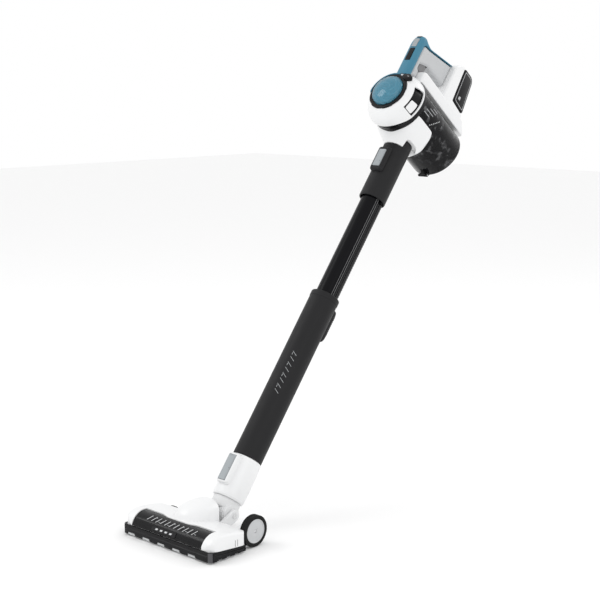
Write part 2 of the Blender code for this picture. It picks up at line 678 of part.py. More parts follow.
def cyclone_housing(cyclone):
    outer = [(RING_RADIUS, RING_BACK), (RING_RADIUS, 0.0660), (0.0645, 0.0760), (0.0600, 0.0860),
             (0.0540, 0.0940), (0.0475, 0.0995), (0.0465, 0.1012)]
    inner = [(0.0440, 0.1012), (0.0455, 0.0970), (0.0518, 0.0918), (0.0575, 0.0842), (0.0620, 0.0750),
             (0.0636, 0.0655), (0.0636, RING_BACK)]
    ring = turned("cyclone_ring", outer + inner, WHITE, cyclone, count=44)
    cut(ring, wedge("cut_latch_slot", 0.0450, 0.0800, -32, 24, 0.0625, 0.0895, cyclone))
    relief = [(-0.034, 0.0500), (-0.034, 0.0588), (-0.039, 0.0592), (-0.045, 0.0604), (-0.051, 0.0622),
              (-0.057, 0.0640), (-0.063, 0.0655), (-0.070, 0.0668), (-0.070, 0.0500)]
    cut(ring, side_prism("cut_ring_relief", relief, -0.1, 0.1, GREY, cyclone))
    tongue = [(0.0655, 0.0640), (0.0636, 0.0765), (0.0592, 0.0860), (0.0570, 0.0850), (0.0612, 0.0755),
              (0.0630, 0.0640)]
    swept("bin_latch", tongue, -31, -9, WHITE, cyclone)
    shell = [(0.0600, 0.0470), (0.0600, 0.0589), (0.0610, 0.0660), (0.0560, 0.0800), (0.0505, 0.0892),
             (0.0490, 0.0880),
             (0.0540, 0.0790), (0.0580, 0.0660), (0.0580, 0.0470)]
    turned("motor_housing", shell, BLACK, cyclone, count=48)
    turned("bin_collar", [(0.0632, 0.0456), (0.0632, 0.0585), (0.0607, 0.0585), (0.0607, 0.0456)],
           BLACK, cyclone, count=48)


def wedge(name, near, far, first, last, low, high, parent, look=GREY):
    """A piece of a ring between two radii, two angles in degrees and two heights."""
    steps = 8
    turns = [math.radians(first + (last - first) * i / steps) for i in range(steps + 1)]
    outline = [(far * math.cos(t), far * math.sin(t)) for t in turns]
    outline += [(near * math.cos(t), near * math.sin(t)) for t in turns[::-1]]
    return prism(name, outline, low, high, look, parent)


def swept(name, profile, first, last, look, parent, steps=6):
    """A profile of radius, height pairs swept about the parent's z axis between two angles."""
    rings = []
    for i in range(steps + 1):
        t = math.radians(first + (last - first) * i / steps)
        rings.append([(radius * math.cos(t), radius * math.sin(t), height) for radius, height in profile])
    return loft(name, rings, look, parent)


def filter_cap(cyclone):
    ring = [(0.0458, 0.1015), (0.0458, 0.1035), (0.0445, 0.1048), (0.0372, 0.1048), (0.0372, 0.1015)]
    turned("dome_ring", ring, BLACK, cyclone, count=48)
    outer = [(0.004, 0.1222), (0.015, 0.1211), (0.0255, 0.1178), (0.0330, 0.1134), (0.0364, 0.1078),
             (0.0368, 0.1000)]
    inner = [(0.0348, 0.1000), (0.0345, 0.1068), (0.0316, 0.1116), (0.0246, 0.1157), (0.0146, 0.1189),
             (0.0035, 0.1200)]
    turned("filter_dome", outer + inner, BLUE, cyclone, count=48, hollow=False)
    outline = []
    for i in range(64):
        t = math.tau * i / 64
        radius = 0.0340 if i % 2 else 0.0300
        outline.append((radius * math.cos(t), radius * math.sin(t)))
    prism("pre_filter", outline, 0.0780, 0.0995, FELT, cyclone)
    tab = [(0.0462, 0.1052), (0.0462, 0.1020), (0.0478, 0.1005), (0.0545, 0.0950), (0.0575, 0.0925),
           (0.0585, 0.0945), (0.0560, 0.0990), (0.0510, 0.1040)]
    swept("dome_latch", tab, 34, 66, BLACK, cyclone)


def motor_group(cyclone):
    case = [(0.0120, 0.0220), (0.0320, 0.0230), (0.0330, 0.0250), (0.0330, 0.0600), (0.0300, 0.0640)]
    turned("suction_motor", case, STEEL, cyclone, count=32, hollow=False)
    blades = []
    for i in range(36):
        t = math.tau * i / 36
        radius = 0.0285 if i % 4 < 2 else 0.0180
        blades.append((radius * math.cos(t + 0.12 * (i % 2)), radius * math.sin(t + 0.12 * (i % 2))))
    prism("impeller", blades, 0.0655, 0.0745, GREY, cyclone)


def dust_bin(cyclone):
    wall = 0.0022
    cup = [(BIN_RADIUS, BIN_BOTTOM), (BIN_RADIUS, BIN_TOP), (BIN_RADIUS - wall, BIN_TOP),
           (BIN_RADIUS - wall, BIN_BOTTOM)]
    bin_cup = turned("dust_bin", cup, SMOKED, cyclone, count=56)
    pin_place = (-0.0665, BIN_BOTTOM + 0.0015)
    axis = empty("lid_axis", (0, pin_place[0], pin_place[1]), (0, math.pi / 2, 0), cyclone)
    turned("lid_hinge_pin", [(0.0015, -0.0125), (0.0015, 0.0125)], STEEL, axis, count=12, hollow=False)
    lug = hinge_lug(pin_place, (-0.0600, BIN_BOTTOM + 0.0100), (-0.0600, BIN_BOTTOM + 0.0010))
    join(bin_cup, side_prism("join_bin_lug", lug, -0.0050, 0.0050, SMOKED, cyclone))
    bore = [(0.0018, -0.02), (0.0018, 0.02)]
    cut(bin_cup, turned("cut_bin_lug", bore, GREY, axis, count=12, hollow=False))
    plate = [(0.003, -0.1252), (0.0485, -0.1252), (0.0565, -0.1230), (0.0583, -0.1205), (0.0583, -0.1170),
             (0.0608, -0.1170), (0.0608, -0.1220), (0.0585, -0.1255), (0.0500, -0.1280), (0.003, -0.1280)]
    lid = turned("bin_lid", plate, SMOKED, cyclone, count=56, hollow=False)
    for side in (-1, 1):
        lug = hinge_lug(pin_place, (-0.0590, -0.1180), (-0.0590, -0.1220))
        near, far = side * 0.0055, side * 0.0115
        join(lid, side_prism(f"join_lid_lug_{side}", lug, near, far, SMOKED, cyclone))
    cut(lid, turned("cut_lid_lug", bore, GREY, axis, count=12, hollow=False))
    shroud = [(0.0310, 0.0200), (0.0310, -0.0300), (0.0240, -0.0700), (0.0222, -0.0700), (0.0292, -0.0300),
              (0.0292, 0.0200)]
    turned("mesh_shroud", shroud, STEEL, cyclone, count=36)


def hinge_lug(pin, first, second):
    """Side outline of a lug: an eye around the pin and two points on its owner."""
    radius, outline = 0.0038, []
    for i in range(7):
        t = math.radians(90 + 180 * i / 6)
        outline.append((pin[0] + radius * math.cos(t), pin[1] + radius * math.sin(t)))
    return outline + [second, first]


def handle_outline():
    return [(-0.0800, 1.0202), (-0.0735, 1.0228), (-0.0665, 1.0240), (-0.0583, 1.0240),
            (-0.0583, 1.0447), (-0.0655, 1.0490),
            (-0.0655, 1.0600), (-0.0420, 1.0716), (0.0298, 1.0716), (0.0298, 1.1290), (-0.0560, 1.1060),
            (-0.0740, 1.1035), (-0.0800, 1.0970)]


def handle_halves(wand):
    outline = handle_outline()
    slight, inset = offset(outline, 0.0012), offset(outline, 0.0036)
    inside = offset(outline, 0.0032)
    room = side_prism("cut_handle_inside", inside, -0.0120, 0.0120, GREY, wand)
    join(room, box("join_trigger_room", (-0.0112, -0.0648, 1.0465), (0.0112, -0.0375, 1.0860), parent=wand))
    for side, name in ((-1, "left"), (1, "right")):
        rings = [side_ring(outline, side * GAP / 2), side_ring(outline, side * 0.0100),
                 side_ring(slight, side * 0.0140), side_ring(inset, side * GRIP_HALF)]
        half = loft(f"handle_{name}", rings, WHITE, wand)
        cut(half, room)
    shape = [(-0.0642, 1.0600), (-0.0640, 1.0474), (-0.0445, 1.0505), (-0.0390, 1.0605), (-0.0410, 1.0700),
             (-0.0480, 1.0760), (-0.0600, 1.0760)]
    side_prism("trigger", shape, -0.0106, 0.0106, GREY, wand)


def arm_cover(wand):
    """Blue cap along the top of the arm, ending in a short horn behind the grip."""
    base = [(-0.0803, 1.0200), (-0.0803, 1.0975), (-0.0743, 1.1040), (-0.0563, 1.1065), (0.0290, 1.1295)]
    crown = [(-0.0940, 1.0125), (-0.0945, 1.0990), (-0.0905, 1.1190), (-0.0820, 1.1225), (-0.0740, 1.1180),
             (-0.0570, 1.1096), (0.0290, 1.1317)]
    foot = [base[0], base[1], base[1], base[2], base[2], base[3], base[4]]
    rings = []
    for x, rise in ((-0.0163, 0.25), (-0.0148, 0.52), (-0.0105, 0.80), (-0.0040, 0.97), (0.0040, 0.97),
                    (0.0105, 0.80), (0.0148, 0.52), (0.0163, 0.25)):
        outer = [(f[0] + (c[0] - f[0]) * rise, f[1] + (c[1] - f[1]) * rise) for f, c in zip(foot, crown)]
        rings.append(side_ring(outer + base[::-1], x))
    cover = loft("arm_cover", rings, BLUE, wand)
    for name, low, high, look in (("mode_button", 1.0500, 1.0830, BLACK), ("display_window", 1.0870, 1.1085, GREY)):
        room = box(f"cut_{name}", (-0.0070, -0.1, low - 0.0004), (0.0070, -0.0905, high + 0.0004),
                   parent=wand)
        cut(cover, room)
        box(name, (-0.0066, -0.0950, low), (0.0066, -0.0921, high), look, wand, corner=0.0008)


def spine_housing(wand, cyclone):
    """White duct behind the dust bin, open towards the bin."""
    def outline(front, back, inset):
        return rounded_box((-SPINE_HALF + inset, front + inset), (SPINE_HALF - inset, back - inset),
                           0.006 - inset / 2)

    low, high = 1.0180, 1.0445
    rings = [flat_ring(outline(-0.0580, 0.1240, WALL), high - WALL),
             flat_ring(outline(-0.0580, 0.1440, WALL), low),
             flat_ring(outline(-0.0580, 0.1440, 0), low), flat_ring(outline(-0.0580, 0.1240, 0), high)]
    spine = loft("spine_housing", rings, WHITE, wand)
    room = [(0.0637, 0.0400), (0.0637, 0.0700)]
    cut(spine, turned("cut_collar_room", room, GREY, cyclone, count=64, hollow=False))


def battery_group(wand):
    shape = [(0.0301, 1.0450), (0.1180, 1.0450), (0.1145, 1.0590), (0.0665, 1.0630), (0.0595, 1.1480),
             (0.0450, 1.1470), (0.0301, 1.1330)]
    inset = offset(shape, 0.0030)
    rings = [side_ring(inset, -0.0300), side_ring(shape, -0.0265), side_ring(shape, 0.0265),
             side_ring(inset, 0.0300)]
    housing = loft("battery_housing", rings, WHITE, wand)
    low, high = (-0.0260, 0.0330, 1.0750), (0.0260, 0.0900, 1.1440)
    cut(housing, box("cut_contact_room", low, high, parent=wand))
    shape = [(0.0669, 1.0640), (0.1140, 1.0598), (0.1010, 1.1390), (0.0930, 1.1470), (0.0602, 1.1475)]
    inset = offset(shape, 0.0030)
    rings = [side_ring(inset, -BATTERY_HALF), side_ring(shape, -0.0265), side_ring(shape, 0.0265),
             side_ring(inset, BATTERY_HALF)]
    pack = loft("battery_pack", rings, BLACK, wand)
    cut(pack, box("cut_battery_button", (-0.0094, 0.0716, 1.1420), (0.0094, 0.0884, 1.1600), parent=wand))
    box("battery_button", (-0.0090, 0.0720, 1.1446), (0.0090, 0.0880, 1.1490), GREY, wand)


def handheld(wand):
    cyclone = empty("cyclone_axis", (0, 0, CYCLONE_Z), (math.pi / 2, 0, 0), wand)
    inlet_duct(wand, cyclone)
    cyclone_housing(cyclone)
    filter_cap(cyclone)
    motor_group(cyclone)
    dust_bin(cyclone)
    handle_halves(wand)
    arm_cover(wand)
    spine_housing(wand, cyclone)
    battery_group(wand)


def build():
    clear_scene()
    floor = empty("vacuum", (0, -ORIGIN_Y, 0))
    floor_head(floor)
    wand = empty("wand_axis", (0, PIVOT[0], PIVOT[1]), (-LEAN, 0, 0), floor)
    elbow_knuckle(wand)
    neck(wand)
    lower_wand(wand)
    upper_wand(wand)
    handheld(wand)


build()
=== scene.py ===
"""Looks of the cordless stick vacuum: materials, fine shapes, light and camera.

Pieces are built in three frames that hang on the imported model: the floor head's, the
wand's, with z along the tube, and the cyclone's, with z out through the filter dome.
Lengths are in metres, except the points given to mm() and mark(), in millimetres.
"""
import json
import math

import bmesh
import bpy
from mathutils import Matrix, Vector


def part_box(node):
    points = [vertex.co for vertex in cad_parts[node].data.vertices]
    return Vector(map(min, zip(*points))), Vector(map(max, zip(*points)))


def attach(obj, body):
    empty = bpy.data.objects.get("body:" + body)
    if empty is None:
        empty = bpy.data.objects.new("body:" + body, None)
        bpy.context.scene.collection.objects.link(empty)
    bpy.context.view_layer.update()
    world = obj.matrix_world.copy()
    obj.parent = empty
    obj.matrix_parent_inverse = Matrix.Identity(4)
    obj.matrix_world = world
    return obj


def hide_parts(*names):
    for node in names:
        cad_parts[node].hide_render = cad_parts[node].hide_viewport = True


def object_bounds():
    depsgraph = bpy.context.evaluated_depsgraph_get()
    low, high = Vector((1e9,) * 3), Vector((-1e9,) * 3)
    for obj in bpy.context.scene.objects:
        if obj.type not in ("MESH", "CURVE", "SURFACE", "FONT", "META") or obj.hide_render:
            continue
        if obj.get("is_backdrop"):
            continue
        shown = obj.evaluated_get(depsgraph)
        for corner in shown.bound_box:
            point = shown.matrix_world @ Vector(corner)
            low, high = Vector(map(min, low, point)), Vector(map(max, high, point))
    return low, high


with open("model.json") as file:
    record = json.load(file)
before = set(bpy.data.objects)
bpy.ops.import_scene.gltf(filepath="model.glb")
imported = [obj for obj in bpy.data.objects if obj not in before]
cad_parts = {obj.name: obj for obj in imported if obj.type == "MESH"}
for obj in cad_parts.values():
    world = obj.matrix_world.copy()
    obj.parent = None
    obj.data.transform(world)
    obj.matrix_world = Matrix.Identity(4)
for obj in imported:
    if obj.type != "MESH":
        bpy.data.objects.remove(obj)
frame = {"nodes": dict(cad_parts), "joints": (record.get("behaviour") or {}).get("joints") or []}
CAD_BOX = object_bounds()

GAP = 0.0003
KEY_GAP = 0.0004
PRINT_LIFT = 0.00002
JOINTS = {joint["name"]: joint for joint in frame["joints"]}
SIDES = ((-1, "left"), (1, "right"))

# floor head: places are y, z in its own frame
HEAD_HALF = 0.1245
HEAD_BACK = 0.1
RIM_Z = 0.0228
RIM_FALL = 0.09
WALL = 0.0028
CHAMBER = (0.0335, 0.0145)
CHEEK_RADIUS = 0.0335
WINDOW_RADIUS = 0.0318
WINDOW_HALF = 0.0978
BRUSH = (0.0335, 0.0215)
WHEEL = (0.1251, 0.0307)
ELBOW = (0.1494, 0.0345)
SIDE_ROLLER = (0.072, 0.0048)
FAR_ROLLER = (0.1185, 0.0145)
BAND_FOOT = 0.0028

# wand
SLEEVE_RADIUS = 0.0308
TUBE_RADIUS = 0.0234
RACK_SEAT = 0.0203

# handheld unit
BIN_RADIUS = 0.061
BIN_WALL = 0.0022
BIN_TOP = 0.0452
BIN_BOTTOM = -0.1165
LID_PIN = (-0.0665, BIN_BOTTOM + 0.0015)
LUG_RADIUS = 0.0038
SPINE_HALF = 0.0345


# ---------------------------------------------------------------- frames

def axis_frame(origin, up):
    """A frame with x across the vacuum and z along up."""
    z = Vector(up).normalized()
    x = Vector((1, 0, 0))
    rows = Matrix((x, z.cross(x), z)).transposed().to_4x4()
    return Matrix.Translation(origin) @ rows


def make_frames():
    head = Matrix.Translation((0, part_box("front_bumper")[0].y, 0))
    origin = Vector(JOINTS["elbow_pitch"]["pos_m"])
    up = Vector(JOINTS["telescope"]["axis"])
    wand = axis_frame(origin, up)
    cap = Vector(JOINTS["filter_cap_turn"]["pos_m"])
    middle = origin + up * (cap - origin).dot(up)
    cyclone = axis_frame(middle, JOINTS["filter_cap_turn"]["axis"])
    return head, wand, cyclone


HEAD, WAND, CYCLONE = make_frames()


def turned_by(degrees, axis):
    return Matrix.Rotation(math.radians(degrees), 4, axis)


def across(home, y, z):
    """A frame at a y, z place of another, with its z axis along x."""
    return home @ Matrix.Translation((0, y, z)) @ turned_by(90, "Y")


# ---------------------------------------------------------------- materials

def node(tree, kind, **values):
    made = tree.nodes.new(kind)
    for name, value in values.items():
        made.inputs[name].default_value = value
    return made


def ramp(tree, value, span, to=(0.0, 1.0)):
    """A value mapped from one span to another."""
    made = tree.nodes.new("ShaderNodeMapRange")
    made.inputs["From Min"].default_value, made.inputs["From Max"].default_value = span
    made.inputs["To Min"].default_value, made.inputs["To Max"].default_value = to
    tree.links.new(value, made.inputs["Value"])
    return made.outputs["Result"]


def mix(tree, factor, first, second):
    """Two colours mixed by a factor; each is a plain colour or the output of a node."""
    made = tree.nodes.new("ShaderNodeMix")
    made.data_type = "RGBA"
    tree.links.new(factor, made.inputs["Factor"])
    for name, colour in (("A", first), ("B", second)):
        if isinstance(colour, bpy.types.NodeSocket):
            tree.links.new(colour, made.inputs[name])
        else:
            made.inputs[name].default_value = (*colour, 1.0)
    return made.outputs["Result"]


def surface(name, colour, rough, metallic=0.0, grain=1400.0, bump=0.1, mottle=0.05, coat=0.0,
            sheen=0.0, alpha=1.0, stretch=(1, 1, 1), wear=0.06, shine=0.5, painted_glint=0.0):
    """A moulded or painted finish: fine grain in the relief, soft mottling in colour and gloss, and, where
    asked, pale patches in the colour that are painted glints.
    """
    made = bpy.data.materials.new(name)
    made.use_nodes = True
    tree = made.node_tree
    shader = tree.nodes["Principled BSDF"]
    plain = {"Metallic": metallic, "Coat Weight": coat, "Coat Roughness": 0.08, "Sheen Weight": sheen,
             "Alpha": alpha, "Specular IOR Level": shine}
    for socket, value in plain.items():
        shader.inputs[socket].default_value = value
    place = tree.nodes.new("ShaderNodeTexCoord")
    scale = node(tree, "ShaderNodeMapping", Scale=stretch)
    tree.links.new(place.outputs["Object"], scale.inputs["Vector"])
    broad = node(tree, "ShaderNodeTexNoise", Scale=45.0, Detail=4.0, Roughness=0.6)
    fine = node(tree, "ShaderNodeTexNoise", Scale=grain, Detail=3.0, Roughness=0.7)
    for noise in (broad, fine):
        tree.links.new(scale.outputs["Vector"], noise.inputs["Vector"])
    darker = [c * (1 - mottle) for c in colour]
    paler = [min(1.0, c * (1 + mottle)) for c in colour]
    tint = mix(tree, broad.outputs["Fac"], darker, paler)
    # Pale patches mixed into the colour: painted glints, standing in for reflections on the smoked plastic.
    if painted_glint:
        glint_patches = ramp(tree, broad.outputs["Fac"], (0.56, 0.7), (0.0, painted_glint))
        tint = mix(tree, glint_patches, tint, GLINT_TINT)
    tree.links.new(tint, shader.inputs["Base Color"])
    gloss = ramp(tree, broad.outputs["Fac"], (0.3, 0.7), (max(0.02, rough - wear), min(1.0, rough + wear)))
    tree.links.new(gloss, shader.inputs["Roughness"])
    relief = node(tree, "ShaderNodeBump", Strength=bump, Distance=0.0004)
    tree.links.new(fine.outputs["Fac"], relief.inputs["Height"])
    tree.links.new(relief.outputs["Normal"], shader.inputs["Normal"])
    return made


def mesh_screen(name, colour, pitch):
    """Perforated metal: round dark holes at a fixed pitch in a steel skin."""
    made = surface(name, colour, 0.35, metallic=0.9)
    tree = made.node_tree
    place = next(n for n in tree.nodes if n.type == "TEX_COORD")
    cells = node(tree, "ShaderNodeTexVoronoi", Scale=1.0 / pitch, Randomness=0.0)
    tree.links.new(place.outputs["Object"], cells.inputs["Vector"])
    skin = ramp(tree, cells.outputs["Distance"], (0.3, 0.38))
    base = tree.nodes["Principled BSDF"].inputs["Base Color"]
    tree.links.new(mix(tree, skin, (0.01, 0.01, 0.01), base.links[0].from_socket), base)
    return made


# The colour of the painted glint patches.
GLINT_TINT = (0.75, 0.76, 0.78)
LOOKS = {
    "white": surface("white_moulding", (0.82, 0.825, 0.83), 0.32, coat=0.15, bump=0.03, mottle=0.012,
                     wear=0.04),
    "pale": surface("pale_moulding", (0.74, 0.745, 0.75), 0.42, bump=0.06, mottle=0.02),
    # The handle's look: the white moulding painted a darker grey, as painted shade for its sides.
    "grip": surface("grip_shaded_white", (0.5, 0.51, 0.52), 0.46, bump=0.12, mottle=0.03, grain=1900),
    "gloss_black": surface("gloss_black_moulding", (0.006, 0.006, 0.007), 0.2, bump=0.03, shine=0.18),
    "charcoal": surface("charcoal_coating", (0.017, 0.017, 0.018), 0.5, bump=0.12, mottle=0.1, grain=2200,
                        shine=0.16),
    "satin_black_tube": surface("satin_black_tube", (0.004, 0.004, 0.005), 0.24, bump=0.05, grain=800,
                                shine=0.1, stretch=(4, 0.4, 0.4)),
    "blue": surface("blue_moulding", (0.052, 0.2, 0.295), 0.4, bump=0.05, mottle=0.03, shine=0.3),
    "clear_blue": surface("clear_blue_moulding", (0.075, 0.29, 0.41), 0.08, coat=0.4, bump=0.01,
                          mottle=0.05, alpha=0.58, wear=0.03),
    "deep_blue": surface("deep_blue_moulding", (0.016, 0.095, 0.15), 0.35, bump=0.04, shine=0.3),
    "light_blue": surface("light_blue_moulding", (0.3, 0.56, 0.68), 0.35, bump=0.04, mottle=0.1),
    # The smoked look carries pale patches of painted glint.
    "smoked": surface("smoked_moulding", (0.006, 0.006, 0.007), 0.09, bump=0.01, mottle=0.5, alpha=0.84,
                      wear=0.03, shine=0.14, painted_glint=0.16),
    "window": surface("window_moulding", (0.005, 0.005, 0.006), 0.16, bump=0.01, mottle=0.3, alpha=0.9,
                      wear=0.05, shine=0.22),
    "silver": surface("silver_paint", (0.33, 0.355, 0.37), 0.42, metallic=0.2, bump=0.05, grain=3000,
                      mottle=0.05, shine=0.3),
    "grey": surface("grey_moulding", (0.52, 0.53, 0.54), 0.45, bump=0.08, mottle=0.03),
    "mid_grey": surface("mid_grey_moulding", (0.2, 0.2, 0.205), 0.45, bump=0.08, mottle=0.05, shine=0.3),
    "dark_grey": surface("dark_grey_moulding", (0.075, 0.075, 0.08), 0.45, bump=0.1, mottle=0.08,
                         shine=0.3),
    "rubber": surface("black_rubber", (0.009, 0.009, 0.009), 0.72, bump=0.25, mottle=0.15, grain=900,
                      shine=0.2),
    "steel": surface("bright_steel", (0.6, 0.61, 0.62), 0.26, metallic=1.0, bump=0.05, stretch=(1, 6, 6)),
    "nylon": surface("brush_nylon", (0.045, 0.045, 0.05), 0.6, bump=0.3, mottle=0.3, grain=700, shine=0.3),
    "felt": surface("filter_felt", (0.7, 0.7, 0.67), 0.92, bump=0.5, mottle=0.08, sheen=0.3, grain=500),
    "light_print": surface("light_print", (0.62, 0.63, 0.64), 0.55, bump=0.04, mottle=0.08),
    "dim_print": surface("dim_print", (0.34, 0.35, 0.36), 0.45, bump=0.04, mottle=0.08),
    "screen": mesh_screen("perforated_steel", (0.4, 0.41, 0.42), 0.004),
}


# ---------------------------------------------------------------- building blocks

def link(name, data):
    """A new object put in the scene."""
    made = bpy.data.objects.new(name, data)
    bpy.context.collection.objects.link(made)
    return made


def polar(reach, turn):
    return reach * math.cos(turn), reach * math.sin(turn)


def full_turn(count):
    return [math.tau * i / count for i in range(count)]


def arc(first, last, steps):
    """Angles from first to last, given in degrees."""
    return [math.radians(first + (last - first) * i / steps) for i in range(steps + 1)]


def mm(*points):
    """Points given in millimetres."""
    return [(a / 1000, b / 1000) for a, b in points]


def mirrored(profile, side):
    """A profile of radius, height pairs put on one side of the middle."""
    return [(reach, side * height) for reach, height in profile]


def solid(name, points, faces, look, home, sharp=35):
    mesh = bpy.data.meshes.new(name)
    mesh.from_pydata([tuple(home @ Vector(point)) for point in points], [], faces)
    shell = bmesh.new()
    shell.from_mesh(mesh)
    bmesh.ops.recalc_face_normals(shell, faces=shell.faces)
    shell.to_mesh(mesh)
    shell.free()
    mesh.materials.append(LOOKS[look])
    return soft_shade(link(name, mesh), sharp)


def soft_shade(piece, sharp=35):
    piece.data.shade_smooth()
    piece.data.set_sharp_from_angle(angle=math.radians(sharp))
    return piece


def loft(name, rings, look, home, tube=False, sharp=35):
    """Rings of equally many points joined into a closed form, or into a tube through its own middle."""
    count = len(rings[0])
    points = [point for ring in rings for point in ring]
    spans = len(rings) if tube else len(rings) - 1
    faces = []
    for row in range(spans):
        low, high = row * count, (row + 1) % len(rings) * count
        for i in range(count):
            j = (i + 1) % count
            faces.append((low + i, low + j, high + j, high + i))
    if not tube:
        faces.append(tuple(range(count)))
        faces.append(tuple(range(len(points) - count, len(points))))
    return solid(name, points, faces, look, home, sharp)


def circle(radius, count=96):
    return [polar(radius, t) for t in full_turn(count)]


def flat_ring(outline, height):
    return [(x, y, height) for x, y in outline]


def side_ring(outline, x):
    return [(x, y, z) for y, z in outline]


def face_ring(outline, y):
    return [(x, y, z) for x, z in outline]


def prism(name, outline, low, high, look, home):
    return loft(name, [flat_ring(outline, low), flat_ring(outline, high)], look, home)


def side_prism(name, outline, low, high, look, home):
    return loft(name, [side_ring(outline, low), side_ring(outline, high)], look, home)


def side_loft(name, stations, look, home, sharp=35):
    """Outlines across the side of a piece, each with its half width, mirrored about the middle."""
    left = [side_ring(outline, -half) for outline, half in stations]
    right = [side_ring(outline, half) for outline, half in stations[::-1]]
    return loft(name, left + right, look, home, sharp=sharp)


def round_profile(profile, radius=0.0006, steps=3, closed=True):
    """The profile with each corner replaced by a short arc-like curve."""
    made = []
    count = len(profile)
    for i, point in enumerate(profile):
        here = Vector(point)
        if not closed and i in (0, count - 1):
            made.append(tuple(here))
            continue
        arms = []
        for near in (profile[i - 1], profile[(i + 1) % count]):
            way = Vector(near) - here
            arms.append(way.normalized() * min(radius, way.length * 0.45))
        for k in range(steps + 1):
            t = k / steps
            spot = (here + arms[0]) * (1 - t) ** 2 + here * 2 * t * (1 - t) + (here + arms[1]) * t ** 2
            made.append(tuple(spot))
    return made


def turned(name, profile, look, home, count=96, hollow=True, radius=0.0006, sharp=35):
    """A profile of radius, height pairs turned about the frame's z axis, its corners eased."""
    if radius:
        profile = round_profile(profile, radius, closed=hollow)
    rings = [flat_ring(circle(reach, count), height) for reach, height in profile]
    return loft(name, rings, look, home, tube=hollow, sharp=sharp)


def bore(radius, low, high, home, count=96):
    """A plain round tool for cutting."""
    return turned("bore", [(radius, low), (radius, high)], "white", home, count, hollow=False, radius=0)


def rounded_box(low, high, corner, steps=4):
    centres = [(high[0], high[1], 0), (low[0], high[1], 1), (low[0], low[1], 2), (high[0], low[1], 3)]
    outline = []
    for x, y, quarter in centres:
        cx = x - corner if quarter in (0, 3) else x + corner
        cy = y - corner if quarter in (0, 1) else y + corner
        for t in arc(90 * quarter, 90 * quarter + 90, steps):
            outline.append((cx + corner * math.cos(t), cy + corner * math.sin(t)))
    return outline


def bar(name, low, high, look, home, corner=0.0005):
    return prism(name, rounded_box(low[:2], high[:2], corner), low[2], high[2], look, home)


def side_bar(name, side, low, high, look, home, corner=0.0005):
    """A bar on one side of the middle; its x places count outwards."""
    near, far = sorted((side * low[0], side * high[0]))
    return bar(name, (near, *low[1:]), (far, *high[1:]), look, home, corner)


def eased_block(name, half, low, high, steps, corner, look, quarter=4):
    """A rounded rectangle on the wand's front, lofted through y, inset steps; corner turns an inset
    into a radius."""
    rings = []
    for y, inset in steps:
        near, far = (-half + inset, low + inset), (half - inset, high - inset)
        rings.append(face_ring(rounded_box(near, far, corner(inset), quarter), y))
    return loft(name, rings, look, WAND)


def mark(shape, thick, look, home):
    """A thin slanted mark, in millimetres: the ends of its foot, the ends of its head, their heights."""
    foot_a, foot_b, head_a, head_b, low, high = shape
    outline = mm((foot_a, low), (foot_b, low), (head_b, high), (head_a, high))
    return prism("mark", outline, 0.0, thick / 1000, look, home)


def offset(outline, distance):
    """The outline moved inwards by distance, for outlines that run anticlockwise."""
    moved = []
    count = len(outline)
    for i in range(count):
        before, here, after = (Vector(outline[(i + k) % count]) for k in (-1, 0, 1))
        first = (here - before).normalized()
        second = (after - here).normalized()
        inward = Vector((-first.y, first.x)) + Vector((-second.y, second.x))
        inward.normalize()
        share = max(0.4, inward.dot(Vector((-first.y, first.x))))
        moved.append(tuple(here + inward * (distance / share)))
    return moved


def wedge_outline(near, far, first, last, steps=16):
    turns = arc(first, last, steps)
    return [polar(far, t) for t in turns] + [polar(near, t) for t in turns[::-1]]


def wedge(name, near, far, first, last, low, high, look, home):
    return prism(name, wedge_outline(near, far, first, last), low, high, look, home)


def swept(name, profile, first, last, look, home, steps=16, fade=0.0):
    """A profile of radius, height pairs swept between two angles, thinner at its ends by fade."""
    middle = sum((Vector(p) for p in profile), Vector((0, 0))) / len(profile)
    rings = []
    for i, t in enumerate(arc(first, last, steps)):
        edge = min(i, steps - i) / 3
        share = 1 - fade * max(0.0, 1 - edge) ** 2
        ring = [middle + (Vector(p) - middle) * share for p in profile]
        rings.append([(*polar(p.x, t), p.y) for p in ring])
    return loft(name, rings, look, home)


def settle(piece):
    """Makes a piece's modifiers permanent."""
    bpy.context.view_layer.update()
    done = bpy.data.meshes.new_from_object(piece.evaluated_get(bpy.context.evaluated_depsgraph_get()))
    piece.modifiers.clear()
    old = piece.data
    piece.data = done
    bpy.data.meshes.remove(old)
    return piece


def combine(target, tools, operation):
    for tool in tools:
        change = target.modifiers.new(operation, "BOOLEAN")
        change.operation = operation
        change.solver = "EXACT"
        change.object = tool
    settle(target)
    for tool in tools:
        bpy.data.objects.remove(tool, do_unlink=True)
    return soft_shade(target)


def cut(target, *tools):
    return combine(target, tools, "DIFFERENCE")


def join(target, *tools):
    return combine(target, tools, "UNION")


def melt(piece, voxel, rounds):
    """Rounds every edge of a piece, as thick moulded plastic is."""
    grid = piece.modifiers.new("grid", "REMESH")
    grid.mode = "VOXEL"
    grid.voxel_size = voxel
    ease = piece.modifiers.new("ease", "SMOOTH")
    ease.factor = 0.5
    ease.iterations = rounds
    return soft_shade(settle(piece), 60)


def publish(piece, body, slot, *nodes):
    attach(piece, body)
    if nodes:
        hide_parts(*nodes)


def gather(name, pieces):
    """Several meshes made into a single piece, each with its own material."""
    looks = []
    shell = bmesh.new()
    for piece in pieces:
        look = piece.data.materials[0]
        if look not in looks:
            looks.append(look)
        first = len(shell.faces)
        shell.from_mesh(piece.data)
        shell.faces.ensure_lookup_table()
        for face in shell.faces[first:]:
            face.material_index = looks.index(look)
    mesh = bpy.data.meshes.new(name)
    shell.to_mesh(mesh)
    shell.free()
    for look in looks:
        mesh.materials.append(look)
    for piece in pieces:
        bpy.data.objects.remove(piece, do_unlink=True)
    return soft_shade(link(name, mesh))


# ---------------------------------------------------------------- floor head

def rim_height(y):
    return RIM_Z - RIM_FALL * y


